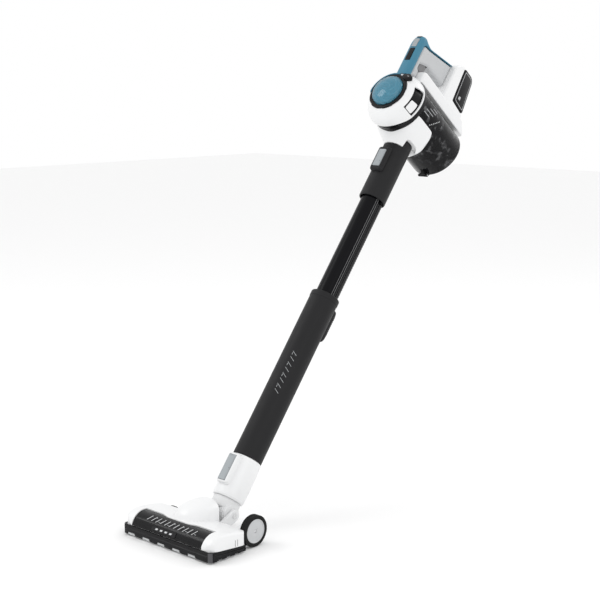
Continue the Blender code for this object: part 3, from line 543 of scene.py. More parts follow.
def plain_height(x, y):
    """Top of the head's cover: a round brush chamber, a gentle fall behind it, eased sides."""
    cy, cz = CHAMBER
    if y < cy:
        height = cz + math.sqrt(max(CHEEK_RADIUS ** 2 - (y - cy) ** 2, 0.0))
    else:
        height = cz + CHEEK_RADIUS - 0.0095 * ((y - cy) / (HEAD_BACK - cy)) ** 2
    ease = 0.0115
    beyond = min(ease * 0.995, max(0.0, abs(x) - (HEAD_HALF - ease)))
    return height - (ease - math.sqrt(ease ** 2 - beyond ** 2))


def bulge_height(x, y):
    """The airway's bulge: a squared dome in the middle of the cover's back."""
    foot, power = 0.04, 2.41
    reach = ((abs(x) / 0.039) ** power + (abs(y - 0.093) / 0.056) ** power) ** (1 / power)
    if reach >= 1:
        return foot - 0.3 * (reach - 1)
    return foot + 0.0345 * (1 - reach ** 2.4) ** (1 / 2.2)


def cover_height(x, y):
    blend = 0.008
    low, high = plain_height(x, y), bulge_height(x, y)
    share = max(0.0, blend - abs(low - high)) / blend
    return max(low, high) + share * share * blend / 4


def crowded(t, even):
    """Rows and columns crowd towards the edges, where the cover curves most."""
    return t if even else 0.55 * t + 0.45 * (0.5 - 0.5 * math.cos(math.pi * t))


def cover_place(s, t, inset):
    """Where a share s across and t back falls on the cover's plan, with its bowed back and corners."""
    half, front = HEAD_HALF - 1.3 * inset, 0.0022 + 1.7 * inset
    back = HEAD_BACK - inset + 0.0155 * max(0.0, 1 - (s * half / 0.042) ** 4) ** 0.5
    x = half * s * (1 - 0.05 * abs(2 * t - 1) ** 10)
    y = front + (back - front) * t
    return x, y + 0.007 * abs(s) ** 12 * (1 - 2 * t)


def sheet_faces(columns, rows):
    """Faces of a closed form made of two grids of points: a top, a bottom and the wall between."""
    row, sheet = columns + 1, (columns + 1) * (rows + 1)
    faces = []
    for j in range(rows):
        for i in range(columns):
            a = j * row + i
            b, c, d = a + 1, a + row + 1, a + row
            faces += [(a, b, c), (a, c, d), (sheet + d, sheet + c, sheet + b, sheet + a)]
    edge = list(range(row)) + [j * row + columns for j in range(1, rows + 1)]
    edge += [rows * row + i for i in range(columns - 1, -1, -1)] + [j * row for j in range(rows - 1, 0, -1)]
    for a, b in zip(edge, edge[1:] + edge[:1]):
        faces.append((a, b, sheet + b, sheet + a))
    return faces


def cover_block(name, inset, rim, fall, columns, rows):
    """The head's cover as a block, or, with an inset, the room inside it."""
    top, bottom = [], []
    for j in range(rows + 1):
        for i in range(columns + 1):
            s = 2 * crowded(i / columns, inset > 0) - 1
            x, y = cover_place(s, crowded(j / rows, inset > 0), inset)
            top.append((x, y, max(cover_height(x, y) - 1.1 * inset, rim + 0.001)))
            bottom.append((x, y, rim - fall * y))
    return solid(name, top + bottom, sheet_faces(columns, rows), "white", HEAD)


def window_back(x):
    """Rear edge of the clear window: drawn forward around the airway's bulge."""
    t = min(1.0, max(0.0, (abs(x) - 0.026) / 0.026))
    return 0.0342 + 0.0066 * t * t * (3 - 2 * t)


def head_cover():
    cover = cover_block("head_cover", 0.0, RIM_Z, RIM_FALL, 120, 64)
    cut(cover, cover_block("inside", WALL, 0.01, 0.0, 104, 56))
    xs = [WINDOW_HALF * (1 - i / 20) for i in range(41)]
    outline = [(-WINDOW_HALF, -0.01), (WINDOW_HALF, -0.01)] + [(x, window_back(x)) for x in xs]
    duct = HEAD @ Matrix.Translation((0, 0.1, 0.0352)) @ turned_by(-90, "X")
    tools = [prism("window", outline, 0.0, 0.09, "white", HEAD), bore(0.0202, -0.02, 0.03, duct),
             bore(0.0317, 0.103, 0.13, across(HEAD, *WHEEL))]
    near, far = (0.0298, 0.0995, 0.01), (0.0379, 0.13, 0.034)
    tools += [side_bar("arm_room", side, near, far, "white", HEAD) for side in (-1, 1)]
    cut(cover, *tools)
    publish(cover, "head", "white", "head_shell")
    slots = []
    for side in (-1, 1):
        for y in (0.064, 0.07):
            low, high = (0.1225, y, 0.0186), (0.1248, y + 0.0011, 0.031)
            slots.append(side_bar("slot", side, low, high, "mid_grey", HEAD, 0.0002))
    publish(gather("cover_side_slots", slots), "head", "gloss_black")


def window_ring(x, reach, thick):
    cy, cz = CHAMBER
    low = math.pi - math.asin((RIM_Z + 2 * GAP - cz) / reach)
    high = math.acos((window_back(x) - GAP - cy) / reach)
    steps = 22
    turns = [low + (high - low) * i / steps for i in range(steps + 1)]
    ring = [polar(reach, t) for t in turns] + [polar(reach - thick, t) for t in turns[::-1]]
    return [(x, cy + y, cz + z) for y, z in ring]


def on_chamber(x, degrees, lift):
    """A frame lying on the window: x along it, y round its curve towards the rear, z outwards."""
    y, z = polar(WINDOW_RADIUS + lift, math.radians(degrees))
    return HEAD @ Matrix.Translation((x, CHAMBER[0] + y, CHAMBER[1] + z)) @ turned_by(degrees - 90, "X")


def clear_window():
    half, columns = WINDOW_HALF - GAP, 64
    rings = [window_ring(-half + 2 * half * i / columns, WINDOW_RADIUS, 0.002) for i in range(columns + 1)]
    publish(loft("clear_window", rings, "window", HEAD), "head", "smoked", "brush_window")
    marks = []
    for i in range(11):
        home = on_chamber(-0.06 + 0.0125 * i, 118, PRINT_LIFT)
        marks.append(mark((-5.8, -4.2, 0.8, 2.4, -6.2, 6.2), 0.2, "light_print", home))
        if i % 3:
            rise = 3 if i % 2 else -4
            marks.append(mark((0.4, 5, 0.8, 5.4, rise, rise + 1.1), 0.2, "dim_print", home))
    publish(gather("window_strokes", marks), "head", "silver")
    strip = rounded_box((-0.033, -0.0042), (0.033, 0.0042), 0.0012)
    home = on_chamber(-0.0085, 150, 0.0001)
    publish(prism("window_strip", strip, 0.0, 0.0009, "charcoal", home), "head", "gloss_black")
    lights = []
    for i in range(4):
        home = on_chamber(-0.028 + 0.013 * i, 150, 0.001)
        lights.append(mark((-3.8, 2.2, -2.2, 3.8, -1.6, 1.6), 0.3, "light_print", home))
    publish(gather("window_lights", lights), "head", "silver")


def band_path():
    """The band's line in plan, from the right end round the front to the left end."""
    corner = mm((125, 10), (124.7, 8.4), (124, 7), (117.5, 0.8), (116, 0.1), (115, 0))
    path = [(0.125, 0.0919 - 0.0117 * k) for k in range(7)] + corner
    path += [(0.115 - 0.0115 * k, 0.0) for k in range(1, 11)]
    return path + [(-x, y) for x, y in path[:-1][::-1]]


def band_section(y):
    """The band's section as depth, height pairs: a lip along the top and a groove under it."""
    foot, top = BAND_FOOT, rim_height(y) - GAP
    tall = top - foot
    return [(0.003, foot), (0.0012, foot), (0.0004, foot + 0.0008), (0.0004, foot + 0.58 * tall),
            (0.0013, foot + 0.62 * tall), (0.0013, foot + 0.72 * tall), (0.0002, foot + 0.76 * tall),
            (0.0, top - 0.0012), (0.0006, top - 0.0002), (0.0016, top), (0.003, top)]


def bumper():
    """Rubbery band round the front and sides, with air inlets below."""
    path = band_path()
    rings = []
    for i, (x, y) in enumerate(path):
        before, after = path[max(0, i - 1)], path[min(len(path) - 1, i + 1)]
        along = Vector((after[0] - before[0], after[1] - before[1])).normalized()
        inward = Vector((along.y, -along.x))
        if inward.dot(Vector((-x, 0.05 - y))) < 0:
            inward = -inward
        rings.append([(x + inward.x * depth, y + inward.y * depth, z) for depth, z in band_section(y)])
    band = loft("bumper_band", rings, "gloss_black", HEAD, sharp=18)
    tools, flaps = [], []
    for i in range(5):
        middle = -0.0125 + 0.0427 * (i - 2)
        inlet_rings = [trapezium(middle, 0.0125, 0.0095, 0.0, 0.0078, y) for y in (-0.01, 0.004)]
        tools.append(loft("inlet", inlet_rings, "gloss_black", HEAD))
        flap_rings = [trapezium(middle, 0.0112, 0.0096, 0.003, 0.0074, y) for y in (0.0016, 0.0024)]
        flaps.append(loft("flap", flap_rings, "grey", HEAD))
    for side in (-1, 1):
        for y in (0.022, 0.043, 0.064):
            low, high = (0.118, y, 0.0), (0.13, y + 0.01, 0.0052)
            tools.append(side_bar("side_inlet", side, low, high, "gloss_black", HEAD, 0.001))
    cut(band, *tools)
    publish(band, "head", "gloss_black", "front_bumper")
    publish(gather("inlet_flaps", flaps), "head", "grey")


def trapezium(middle, foot, head, low, high, y):
    """An upright ring of four corners about a middle, foot and head wide to each side."""
    corners = ((-foot, low), (foot, low), (head, high), (-head, high))
    return [(middle + x, y, z) for x, z in corners]


def bumper_corner_highlights():
    """Dark grey pads on the band's two front corners, a painted highlight: lighter faces standing in for
    light caught on the corner chamfers.
    """
    highlight_caps = []
    for side in (-1, 1):
        ends = [(side * 0.1172, 0.0006), (side * 0.1236, 0.007)]
        inward = [(x - side * 0.0008, y + 0.0008) for x, y in ends[::-1]]
        outward = [(x + side * 0.0002, y - 0.0002) for x, y in ends]
        top = rim_height(0.004) - 0.0012
        highlight_caps.append(prism("corner", outward + inward, 0.0034, top, "dark_grey", HEAD))
    publish(gather("bumper_corner_highlights", highlight_caps), "head", "gloss_black")


def tuft(along, turn):
    """One tuft of bristles, six sided, as the points of its foot and its tip."""
    points = []
    for reach, size in ((0.0116, 0.0011), (0.0186, 0.0014)):
        middle = Vector((*polar(reach, turn), along))
        side = Vector((-math.sin(turn), math.cos(turn), 0))
        for t in full_turn(6):
            points.append(middle + side * size * math.cos(t) + Vector((0, 0, size * 0.8 * math.sin(t))))
    return points


def brush():
    """Tufts in four spiral rows on a core."""
    home = across(HEAD, *BRUSH)
    core = mm((3.8, -94), (11.8, -93.5), (12.2, -92), (12.2, 92), (11.8, 93.5), (3.8, 94), (3.8, 102.5))
    made = [turned("core", core, "nylon", home, count=48, hollow=False)]
    tufts, rows = 64, 4
    points, faces = [], []
    for row in range(rows):
        for i in range(tufts):
            base = len(points)
            points += tuft(-0.0915 + 0.183 * (i + 0.5) / tufts, row * math.tau / rows + 1.7 * i / tufts)
            foot, tip = range(base, base + 6), range(base + 6, base + 12)
            faces += [(foot[m], foot[(m + 1) % 6], tip[(m + 1) % 6], tip[m]) for m in range(6)]
            faces += [tuple(foot), tuple(tip)]
    made.append(solid("tufts", points, faces, "nylon", home))
    publish(gather("brush_bar", made), "brush", "nylon", "brush_roller")


def wheels():
    """The large rear wheel with its grooved tyre and dished disc, the far roller and the front rollers."""
    home = across(HEAD, *WHEEL)
    tread = mm((23.7, 104.8), (28, 104.5), (29.8, 105), (30.7, 106.4))
    for k in range(4):
        start = 0.1078 + 0.0024 * k
        tread += [(0.0307, start), (0.0301, start + 0.0003), (0.0301, start + 0.0009),
                  (0.0307, start + 0.0012)]
    tread += mm((30.7, 117.7), (30, 118.9), (28.2, 119.4), (25.2, 119.1), (23.7, 118.8))
    tyre = turned("wheel_tyre", tread, "rubber", home, count=120, radius=0.0003)
    publish(tyre, "wheel", "rubber", "tyre")
    hub = mm((3.4, 103), (7, 103), (23.4, 105), (23.4, 118.4), (22.6, 119), (21.5, 119), (20.8, 118.4),
             (20.4, 117.8), (14, 118.2), (7, 118.4), (6.4, 117.8), (5, 117.8), (3.4, 118))
    publish(turned("wheel_disc", hub, "grey", home, count=120, radius=0.0004), "wheel", "grey", "wheel_hub")
    tread = mm((3.4, -102.5), (6, -102.5), (13.3, -104), (14.5, -105.5), (14.5, -114.5), (13.3, -116),
               (8, -115.8), (3.4, -115))
    far = turned("far_roller", tread, "rubber", across(HEAD, *FAR_ROLLER), count=64)
    publish(far, "far_roller", "rubber", "rear_roller")
    profile = mm((1.4, 106.6), (1.4, 107.6), (4.8, 108), (4.8, 115.6), (1.4, 116), (1.4, 117))
    for side, name in SIDES:
        roller = turned(f"front_roller_{name}", mirrored(profile, side), "grey", across(HEAD, *SIDE_ROLLER),
                        count=40, hollow=False, radius=0.0003)
        publish(roller, f"front_roller_{name}", "grey", f"side_roller_{name}")


def hinge_arms():
    """Two arms that hold the elbow: three leaves each, the middle one slimmer, and a pin."""
    leaves = ((0.012, 0.0302, 0.034), (0.0112, 0.034, 0.0352), (0.012, 0.0352, 0.0375))
    pin = mm((4, 22.6), (4, 37.8), (5.8, 38), (5.8, 39.2), (1.8, 39.2), (1.2, 38.6))
    home = across(HEAD, *ELBOW)
    for side, name in SIDES:
        made = []
        for reach, near, far in leaves:
            nose = [(ELBOW[0] + y, ELBOW[1] + z) for y, z in (polar(reach, t) for t in arc(-90, 90, 24))]
            outline = [(HEAD_BACK, 0.012), *nose, (HEAD_BACK, 0.0222)]
            made.append(side_prism("leaf", outline, side * near, side * far, "white", HEAD))
        arm = join(*made)
        cut(arm, bore(0.0043, side * 0.028, side * 0.04, home, 40))
        arm.name = f"elbow_arm_{name}"
        publish(arm, "head", "white", f"hinge_arm_{name}")
        made = turned(f"elbow_pin_{name}", mirrored(pin, side), "pale", home, count=40, hollow=False,
                      radius=0.0003)
        publish(made, "knuckle", "steel", f"pivot_pin_{name}")


def tray_details():
    screws = []
    profile = mm((0, 0), (2.8, 0), (2.8, -0.6), (2.2, -0.9), (0.6, -0.9), (0.4, -0.4))
    for side in (-1, 1):
        for x, y in ((0.085, 0.085), (0.03, 0.07), (0.1145, 0.03)):
            home = HEAD @ Matrix.Translation((side * x, y, 0.0035))
            screws.append(turned("screw", profile, "steel", home, count=24, radius=0))
    publish(gather("tray_screws", screws), "head", "steel")
    lips = [bar("lip", (-0.098, y, 0.0012), (0.098, y + 0.0022, 0.0036), "rubber", HEAD, 0.0006)
            for y in (0.0098, 0.056)]
    publish(gather("tray_lips", lips), "head", "rubber")


# ---------------------------------------------------------------- wand

def knuckle():
    """The ribbed barrel that nods in the elbow, with the round end that the neck twists on."""
    home = across(WAND, 0, 0)
    barrel = mm((18.5, -28.5), (20.5, -27.5))
    for k in range(11):
        start = -0.0265 + 0.0048 * k
        barrel += [(0.0221, start + 0.0004), (0.0221, start + 0.0026), (0.0207, start + 0.003),
                   (0.0207, start + 0.0044)]
    barrel += mm((20.5, 27.5), (18.5, 28.5))
    made = turned("elbow_barrel", barrel, "pale", home, count=72, hollow=False, radius=0.0003)
    collar = mm((26.2, 5), (28.5, 8), (28.5, 22.5), (28, 23), (28, 23.8), (28.5, 24.3), (28.5, 26.2))
    join(made, turned("spigot", collar, "pale", WAND, count=72, hollow=False, radius=0.0003))
    pin_bores = [bore(0.0043, side * 0.0222, side * 0.04, home, 32) for side in (-1, 1)]
    cut(made, bore(0.016, -0.04, 0.04, WAND, 48), *pin_bores)
    publish(made, "knuckle", "grey", "elbow_knuckle")


def boss(half, low, high, face, root, look):
    """The raised rounded pad that a push button sits in."""
    steps = ((root, 0.0), (face + 0.004, 0.0006), (face + 0.0022, 0.0014), (face + 0.0009, 0.0024),
             (face + 0.0002, 0.0036), (face, 0.005))
    return eased_block("boss", half, low, high, steps, lambda inset: 0.0056 - inset / 2, look, 6)


def key_room(half, low, high, front, back):
    """A rounded pocket for a key on the front of the wand, a gap wider than the key all round."""
    return bar("room", (-half - KEY_GAP, front, low - KEY_GAP), (half + KEY_GAP, back, high + KEY_GAP),
               "white", WAND, 0.0008)


def push_button(name, low, high, face, body, cad, mark_z):
    """A rounded key with a shallow dished face and one small round mark."""
    half = 0.0095
    steps = ((face + 0.004, 0.0), (face + 0.0012, 0.0), (face + 0.0004, 0.0004), (face, 0.0012),
             (face + 0.0003, 0.0022), (face + 0.0005, 0.005))
    key = eased_block(name, half, low, high, steps, lambda inset: 0.0028 - inset / 3, "silver", 6)
    publish(key, body, "silver", cad)
    home = WAND @ Matrix.Translation((half - 0.0026, face + 0.0006, mark_z)) @ turned_by(90, "X")
    dot = turned(f"{name}_mark", mm((0.8, 0), (0.8, 0.6), (0.5, 0.8)), "dark_grey", home,
                 count=24, hollow=False, radius=0)
    publish(dot, body, "gloss_black")


def neck():
    low, high, face = 0.053, 0.108, -0.043
    profile = mm((30, 26.8), (31.8, 28), (32.8, 32), (33.5, 60), (33, 90), (31.8, 110), (31.4, 115.5),
                 (26.8, 115.5), (26.8, 150), (24.5, 150), (24.5, 32), (23.5, 26.8))
    shell = turned("neck_socket", profile, "white", WAND, count=128, radius=0.001)
    join(shell, boss(0.0152, 0.0475, 0.1135, -0.0415, -0.0255, "white"))
    cut(shell, key_room(0.0095, low, high, face - 0.02, face + 0.0068))
    publish(shell, "neck", "white", "neck_shell")
    push_button("neck_key", low, high, face, "head_release", "neck_button", 0.079)


def rack_reach(t):
    """How far the rack's rounded back stands out at an angle."""
    return ((abs(math.cos(t)) / 0.02) ** 4 + (abs(math.sin(t)) / 0.0235) ** 4) ** -0.25


def keyed_ring(radius, back):
    """A round outline whose back part, towards the rack, follows another reach."""
    return [polar(back(t) if math.sin(t) > -0.2 else radius, t) for t in full_turn(96)]


def thin_tube(name, outer, inner, low, high, look):
    rings = [flat_ring(outer, low), flat_ring(outer, high), flat_ring(inner, high), flat_ring(inner, low)]
    return loft(name, rings, look, WAND, tube=True)


def tube_strokes():
    """A plain row of slanted strokes printed along the front of the sleeve."""
    marks = []
    for i in range(8):
        spot = Matrix.Translation((SLEEVE_RADIUS + PRINT_LIFT, 0, 0.262 + 0.0125 * i))
        home = WAND @ turned_by(-58, "Z") @ spot @ turned_by(90, "Y")
        marks.append(mark((-4.2, -3, 3, 4.2, -5.2, 5.2), 0.15, "dim_print", home))
        if i % 2:
            marks.append(mark((-1.2, 4.4, -0.4, 4.4, -4.6, -3.6), 0.15, "dim_print", home))
    return marks


def slider_outline(half, crown):
    """The length slider across the wand: hollow against the sleeve, crowned outside."""
    inner = []
    for i in range(13):
        x = half * (1 - i / 6)
        inner.append((x, math.sqrt((SLEEVE_RADIUS + 0.0004) ** 2 - x * x)))
    root = inner[-1][1]
    outer = []
    for i in range(25):
        t = math.pi * i / 24
        x = -half * math.copysign(abs(math.cos(t)) ** 0.5, math.cos(t))
        outer.append((x, root + 0.0006 + (crown - root) * math.sin(t) ** 0.45))
    return inner + outer


def length_slider():
    """Stations of height, half width and crown, with seven finger ridges in the middle."""
    stations = [(0.4085, 0.0105, 0.0326), (0.4095, 0.0128, 0.0352), (0.4125, 0.0145, 0.0385),
                (0.418, 0.0155, 0.0408), (0.43, 0.016, 0.042)]
    for k in range(7):
        z = 0.434 + 0.0045 * k
        stations += [(z, 0.016, 0.042), (z + 0.0009, 0.0158, 0.0411), (z + 0.0018, 0.0158, 0.0411),
                     (z + 0.0027, 0.016, 0.042)]
    stations += [(0.47, 0.016, 0.042), (0.479, 0.0155, 0.0408), (0.482, 0.0148, 0.039),
                 (0.4845, 0.0125, 0.035), (0.485, 0.0115, 0.0335)]
    rings = [flat_ring(slider_outline(half, crown), z) for z, half, crown in stations]
    publish(loft("length_slider", rings, "gloss_black", WAND), "length_lock", "gloss_black", "lock_slider")


def lower_wand():
    profile = mm((30.8, 116.5), (30.8, 483.5), (30.5, 484.5), (30.5, 486.2), (31.6, 487.5), (31.6, 497.5),
                 (30.8, 499), (29, 499), (29, 116.5))
    sleeve = turned("outer_sleeve", profile, "charcoal", WAND, count=128)
    publish(sleeve, "lower_wand", "charcoal", "lower_sleeve")
    publish(gather("sleeve_strokes", tube_strokes()), "lower_wand", "silver")
    inner = keyed_ring(TUBE_RADIUS + 0.0004, lambda t: max(TUBE_RADIUS, rack_reach(t)) + 0.0004)
    bush = thin_tube("guide_bush", circle(0.0287), inner, 0.47, 0.4985, "dark_grey")
    publish(bush, "lower_wand", "grey", "sleeve_bush")
    length_slider()


def inner_tube():
    """The tube with the rack in its flat back, and two thin mid grey beads along each flank, coloured as
    painted highlights.
    """
    outer = keyed_ring(TUBE_RADIUS, lambda t: RACK_SEAT)
    skin = thin_tube("inner_tube_skin", outer, circle(RACK_SEAT - 0.0017), 0.373, 0.764, "satin_black_tube")
    publish(skin, "upper_wand", "satin_black_tube", "inner_tube")
    publish(toothed_rack(), "upper_wand", "gloss_black", "wand_rack")
    # Mid grey strips along the tube's flanks: painted highlights, standing in for light caught on the black
    # tube.
    highlight_strips = []
    near, far = TUBE_RADIUS - 0.0002, TUBE_RADIUS + 0.00015
    for degrees in (-24, -13, 193, 204):
        outline = wedge_outline(near, far, degrees - 0.9, degrees + 0.9, 3)
        highlight_strips.append(prism("painted_line", outline, 0.374, 0.763, "mid_grey", WAND))
    publish(gather("tube_highlight_lines", highlight_strips), "upper_wand", "grey")


def upper_wand():
    """The inner tube, and the collar with its two ears and release key."""
    inner_tube()
    low, high, face = 0.808, 0.851, -0.0395
    profile = mm((28.5, 741), (29.7, 742.5), (29.7, 875), (27, 875), (27, 768), (23.8, 766), (23.8, 757),
                 (26.8, 755), (26.8, 741))
    collar = turned("wand_collar", profile, "charcoal", WAND, count=128)
    ears = [wedge("ear", 0.0273, 0.0299, first, first + 76, 0.85, 0.893, "charcoal", WAND)
            for first in (-28, 132)]
    join(collar, *ears, boss(0.016, 0.799, 0.86, -0.0375, -0.028, "charcoal"))
    cut(collar, key_room(0.0095, low, high, face - 0.02, face + 0.0068))
    publish(collar, "upper_wand", "charcoal", "upper_collar")
    push_button("collar_key", low, high, face, "collar_release", "collar_button", 0.82)


def toothed_rack():
    """The rack behind the tube, notched across its flanks at a steady pitch."""
    turns = arc(20, 160, 40)
    seat = RACK_SEAT + 0.0003
    inner = [polar(seat, t) for t in turns[::-1]]

    def section(depth):
        outer = []
        for t in turns:
            flank = max(0.0, abs(math.cos(t)) - 0.35) / 0.6
            reach = max(rack_reach(t) - depth * min(1.0, 2 * flank), seat + 0.0002)
            outer.append(polar(reach, t))
        return outer + inner

    low, high, pitch = 0.376, 0.7545, 0.006
    rings = [flat_ring(section(0.0), low)]
    z = low + 0.004
    while z < high - 0.006:
        for step, depth in ((0.0, 0.0), (0.0005, 0.0008), (0.0023, 0.0008), (0.0028, 0.0)):
            rings.append(flat_ring(section(depth), z + step))
        z += pitch
    rings.append(flat_ring(section(0.0), high))
    return loft("toothed_rack", rings, "gloss_black", WAND)


# ---------------------------------------------------------------- handheld unit

def curve_between(stations, t):
    """A smooth line through the stations, each a tuple of numbers."""
    last = len(stations) - 1
    k = min(last - 1, int(t))
    f = t - k
    p = [stations[min(last, max(0, k + i))] for i in (-1, 0, 1, 2)]
    made = []
    for a, b, c, d in zip(*p):
        bend = (2 * a - 5 * b + 4 * c - d) * f ** 2 + (3 * b - a - 3 * c + d) * f ** 3
        made.append(0.5 * (2 * b + (c - a) * f + bend))
    return made


def inlet():
    """The duct from the round collar up to the bin: stations of height, half width, half depth, middle
    and roundness."""
    stations = [(0.8758, 0.0285, 0.03, 0.0, 0.9), (0.889, 0.0352, 0.038, 0.001, 0.65),
                (0.9, 0.043, 0.044, -0.0022, 0.5), (0.915, 0.0525, 0.0455, -0.0085, 0.42),
                (0.928, 0.0585, 0.0432, -0.0117, 0.36), (0.936, 0.0605, 0.0398, -0.0142, 0.34)]
    count, steps = 120, 30
    rings = [flat_ring(circle(0.0262, count), z) for z in (0.778, 0.875)]
    for k in range(steps + 1):
        z, half_x, half_y, middle, power = curve_between(stations, (len(stations) - 1) * k / steps)
        ring = []
        for c, s in circle(1.0, count):
            x = half_x * math.copysign(abs(c) ** power, c)
            ring.append((x, middle + half_y * math.copysign(abs(s) ** power, s), z))
        rings.append(ring)
    duct = loft("inlet_airway", rings, "white", WAND, sharp=50)
    tools = [bore(BIN_RADIUS + 0.0008, -0.1, 0.1, CYCLONE, 160),
             bore(BIN_RADIUS + 0.0026, BIN_TOP - GAP, 0.1, CYCLONE, 160)]
    for first in (-29, 131):
        tools.append(wedge("ear_room", 0.027, 0.04, first, first + 78, 0.86, 0.8934, "white", WAND))
    cut(duct, *tools, bore(0.0215, 0.76, 0.93, WAND))
    publish(duct, "handheld", "white", "inlet_duct")


def cyclone_shell():
    """The white ring round the motor, slotted for its catch and cut back over the inlet."""
    outer = mm((66.2, 58.8), (66.2, 66.5), (65.7, 70.5), (64.5, 76), (62.6, 81.2), (60, 86), (57.3, 90.2),
               (54, 94), (50.8, 97), (47.5, 99.5), (46.5, 101.2))
    inner = mm((44, 101.2), (45.5, 97), (51.8, 91.8), (57.5, 84.2), (62, 75), (63.6, 65.5), (63.6, 58.8))
    ring = turned("cyclone_shell", outer + inner, "white", CYCLONE, count=160, radius=0.0005)
    relief = mm((-34, 50), (-34, 58.8), (-39, 59.2), (-45, 60.4), (-51, 62.2), (-57, 64), (-63, 65.5),
                (-70, 66.8), (-70, 50))
    cut(ring, wedge("slot", 0.045, 0.08, -32, 24, 0.0625, 0.0895, "white", CYCLONE),
        side_prism("relief", relief, -0.1, 0.1, "white", CYCLONE))
    publish(ring, "handheld", "white", "cyclone_ring")


def cyclone_group():
    """The ring with its catch, the motor case inside it and the black band under it."""
    cyclone_shell()
    tongue = mm((65.5, 68.5), (64.5, 73.5), (63.2, 77.5), (59.2, 86), (57, 85), (61.2, 75.5), (62.5, 68.5))
    key = swept("bin_catch_key", round_profile(tongue), -30.5, -9, "white", CYCLONE, fade=0.15)
    publish(key, "bin_catch", "white", "bin_latch")
    shell = mm((60, 47), (60, 58.9), (61, 66), (56, 80), (50.5, 89.2), (49, 88), (54, 79), (58, 66),
               (58, 47))
    case = turned("motor_case", shell, "gloss_black", CYCLONE, count=128)
    publish(case, "handheld", "gloss_black", "motor_housing")
    band = mm((63.2, 45.6), (63.2, 50), (62.7, 50.4), (62.7, 50.8), (63.2, 51.2), (63.2, 58.5),
              (60.7, 58.5), (60.7, 45.6))
    collar = turned("bin_collar_band", band, "gloss_black", CYCLONE, count=160, radius=0.0003)
    publish(collar, "handheld", "gloss_black", "bin_collar")


def cap_rim():
    """The dome's ring, with eight shallow finger pads in its outer edge."""
    profile = mm((45.8, 101.5), (45.8, 103.5), (44.5, 104.8), (37.2, 104.8), (37.2, 101.5))
    rings = []
    for reach, height in round_profile(profile, 0.0005):
        ring = []
        for t in full_turn(240):
            pad = 0.0011 if reach > 0.043 and math.cos(8 * t) > 0.55 else 0.0
            ring.append((*polar(reach - pad, t), height))
        rings.append(ring)
    rim = loft("cap_rim", rings, "gloss_black", CYCLONE, tube=True)
    publish(rim, "filter_cap", "gloss_black", "dome_ring")


def clear_dome():
    outer = mm((0.5, 122.2), (8, 122), (15, 121.1), (20.5, 119.7), (25.5, 117.8), (29.7, 115.7),
               (33, 113.4), (35.1, 110.9), (36.4, 107.8), (36.8, 104), (36.8, 100))
    inner = mm((34.8, 100), (34.5, 106.8), (31.6, 111.6), (24.6, 115.7), (14.6, 118.9), (0.5, 120))
    dome = turned("clear_dome", outer + inner, "clear_blue", CYCLONE, count=128, hollow=False, radius=0,
                  sharp=50)
    publish(dome, "filter_cap", "clear_blue", "filter_dome")


def pleated_filter():
    rings = []
    for height, scale in ((0.078, 1.0), (0.099, 1.0), (0.104, 0.9), (0.105, 0.1)):
        ring = [polar(scale * (0.0322 + 0.0016 * math.cos(40 * t)), t) for t in full_turn(160)]
        rings.append(flat_ring(ring, height))
    publish(loft("pleated_filter", rings, "felt", CYCLONE, sharp=20), "handheld", "felt", "pre_filter")


def cap_latch():
    """The rounded black cap beside the dome, with its mark."""
    lean = Matrix.Rotation(0.62, 4, "Y")
    home = CYCLONE @ turned_by(50, "Z") @ Matrix.Translation((0.0505, 0, 0.1012)) @ lean
    outline = rounded_box((-0.0095, -0.01), (0.0095, 0.0095), 0.0055, 8)
    steps = ((-0.0045, 0.0), (0.0026, 0.0), (0.0036, 0.0007), (0.0041, 0.0022))
    rings = [flat_ring([(y, x) for x, y in offset(outline, inset)], z) for z, inset in steps]
    publish(loft("cap_latch", rings, "gloss_black", home), "filter_cap", "gloss_black", "dome_latch")
    dot = prism("cap_latch_mark", rounded_box((-0.001, -0.004), (0.0022, 0.001), 0.0008), 0.004, 0.0044,
                "mid_grey", home)
    publish(dot, "filter_cap", "silver")


def swirl():
    """Curved vanes on a dark disc, seen through the dome."""
    disc = mm((0.5, 105.6), (34, 105.6), (34, 106), (0.5, 106.6))
    pieces = [turned("disc", disc, "deep_blue", CYCLONE, hollow=False, radius=0)]
    for k in range(5):
        near, far = [], []
        for i in range(13):
            share = i / 12
            reach = 0.006 + 0.0262 * share
            turn = math.tau * k / 5 + 1.45 * share ** 1.3
            half = (0.0011 + 0.003 * share) / reach
            near.append(polar(reach, turn - half))
            far.append(polar(reach, turn + half))
        outline = near + far[::-1]
        top = [(x, y, 0.1096 - 0.0022 * math.hypot(x, y) / 0.034) for x, y in outline]
        pieces.append(loft("vane", [flat_ring(outline, 0.1062), top], "light_blue", CYCLONE))
    return pieces


def filter_cap():
    cap_rim()
    clear_dome()
    pleated_filter()
    publish(gather("dome_swirl", swirl()), "filter_cap", "blue")
    cap_latch()
    rim = mm((46.2, 99.6), (49.6, 99), (50, 100.6), (49.2, 104), (47.2, 104.9), (46.3, 104.3))
    lip = swept("arm_cover_rim", rim, 76, 184, "blue", CYCLONE, steps=48, fade=0.9)
    publish(lip, "handheld", "blue")


def hinge_lug(first, second):
    """The side of a hinge knuckle round the lid's pin, running out to two points."""
    knuckle_side = [polar(LUG_RADIUS, t) for t in arc(90, 270, 12)]
    return [(LID_PIN[0] + y, LID_PIN[1] + z) for y, z in knuckle_side] + [second, first]


def dust_bin():
    """The smoked cup, open at both ends, with its half of the hinge."""
    inside = BIN_RADIUS - BIN_WALL
    cup = [(BIN_RADIUS, BIN_BOTTOM), (BIN_RADIUS, BIN_TOP), (inside, BIN_TOP), (inside, BIN_BOTTOM)]
    made = turned("clear_bin", cup, "smoked", CYCLONE, count=128)
    lug = hinge_lug((-0.06, BIN_BOTTOM + 0.01), (-0.06, BIN_BOTTOM + 0.001))
    join(made, side_prism("lug", lug, -0.005, 0.005, "smoked", CYCLONE))
    cut(made, bore(0.0018, -0.02, 0.02, across(CYCLONE, *LID_PIN), 24))
    publish(made, "bin", "smoked", "dust_bin")


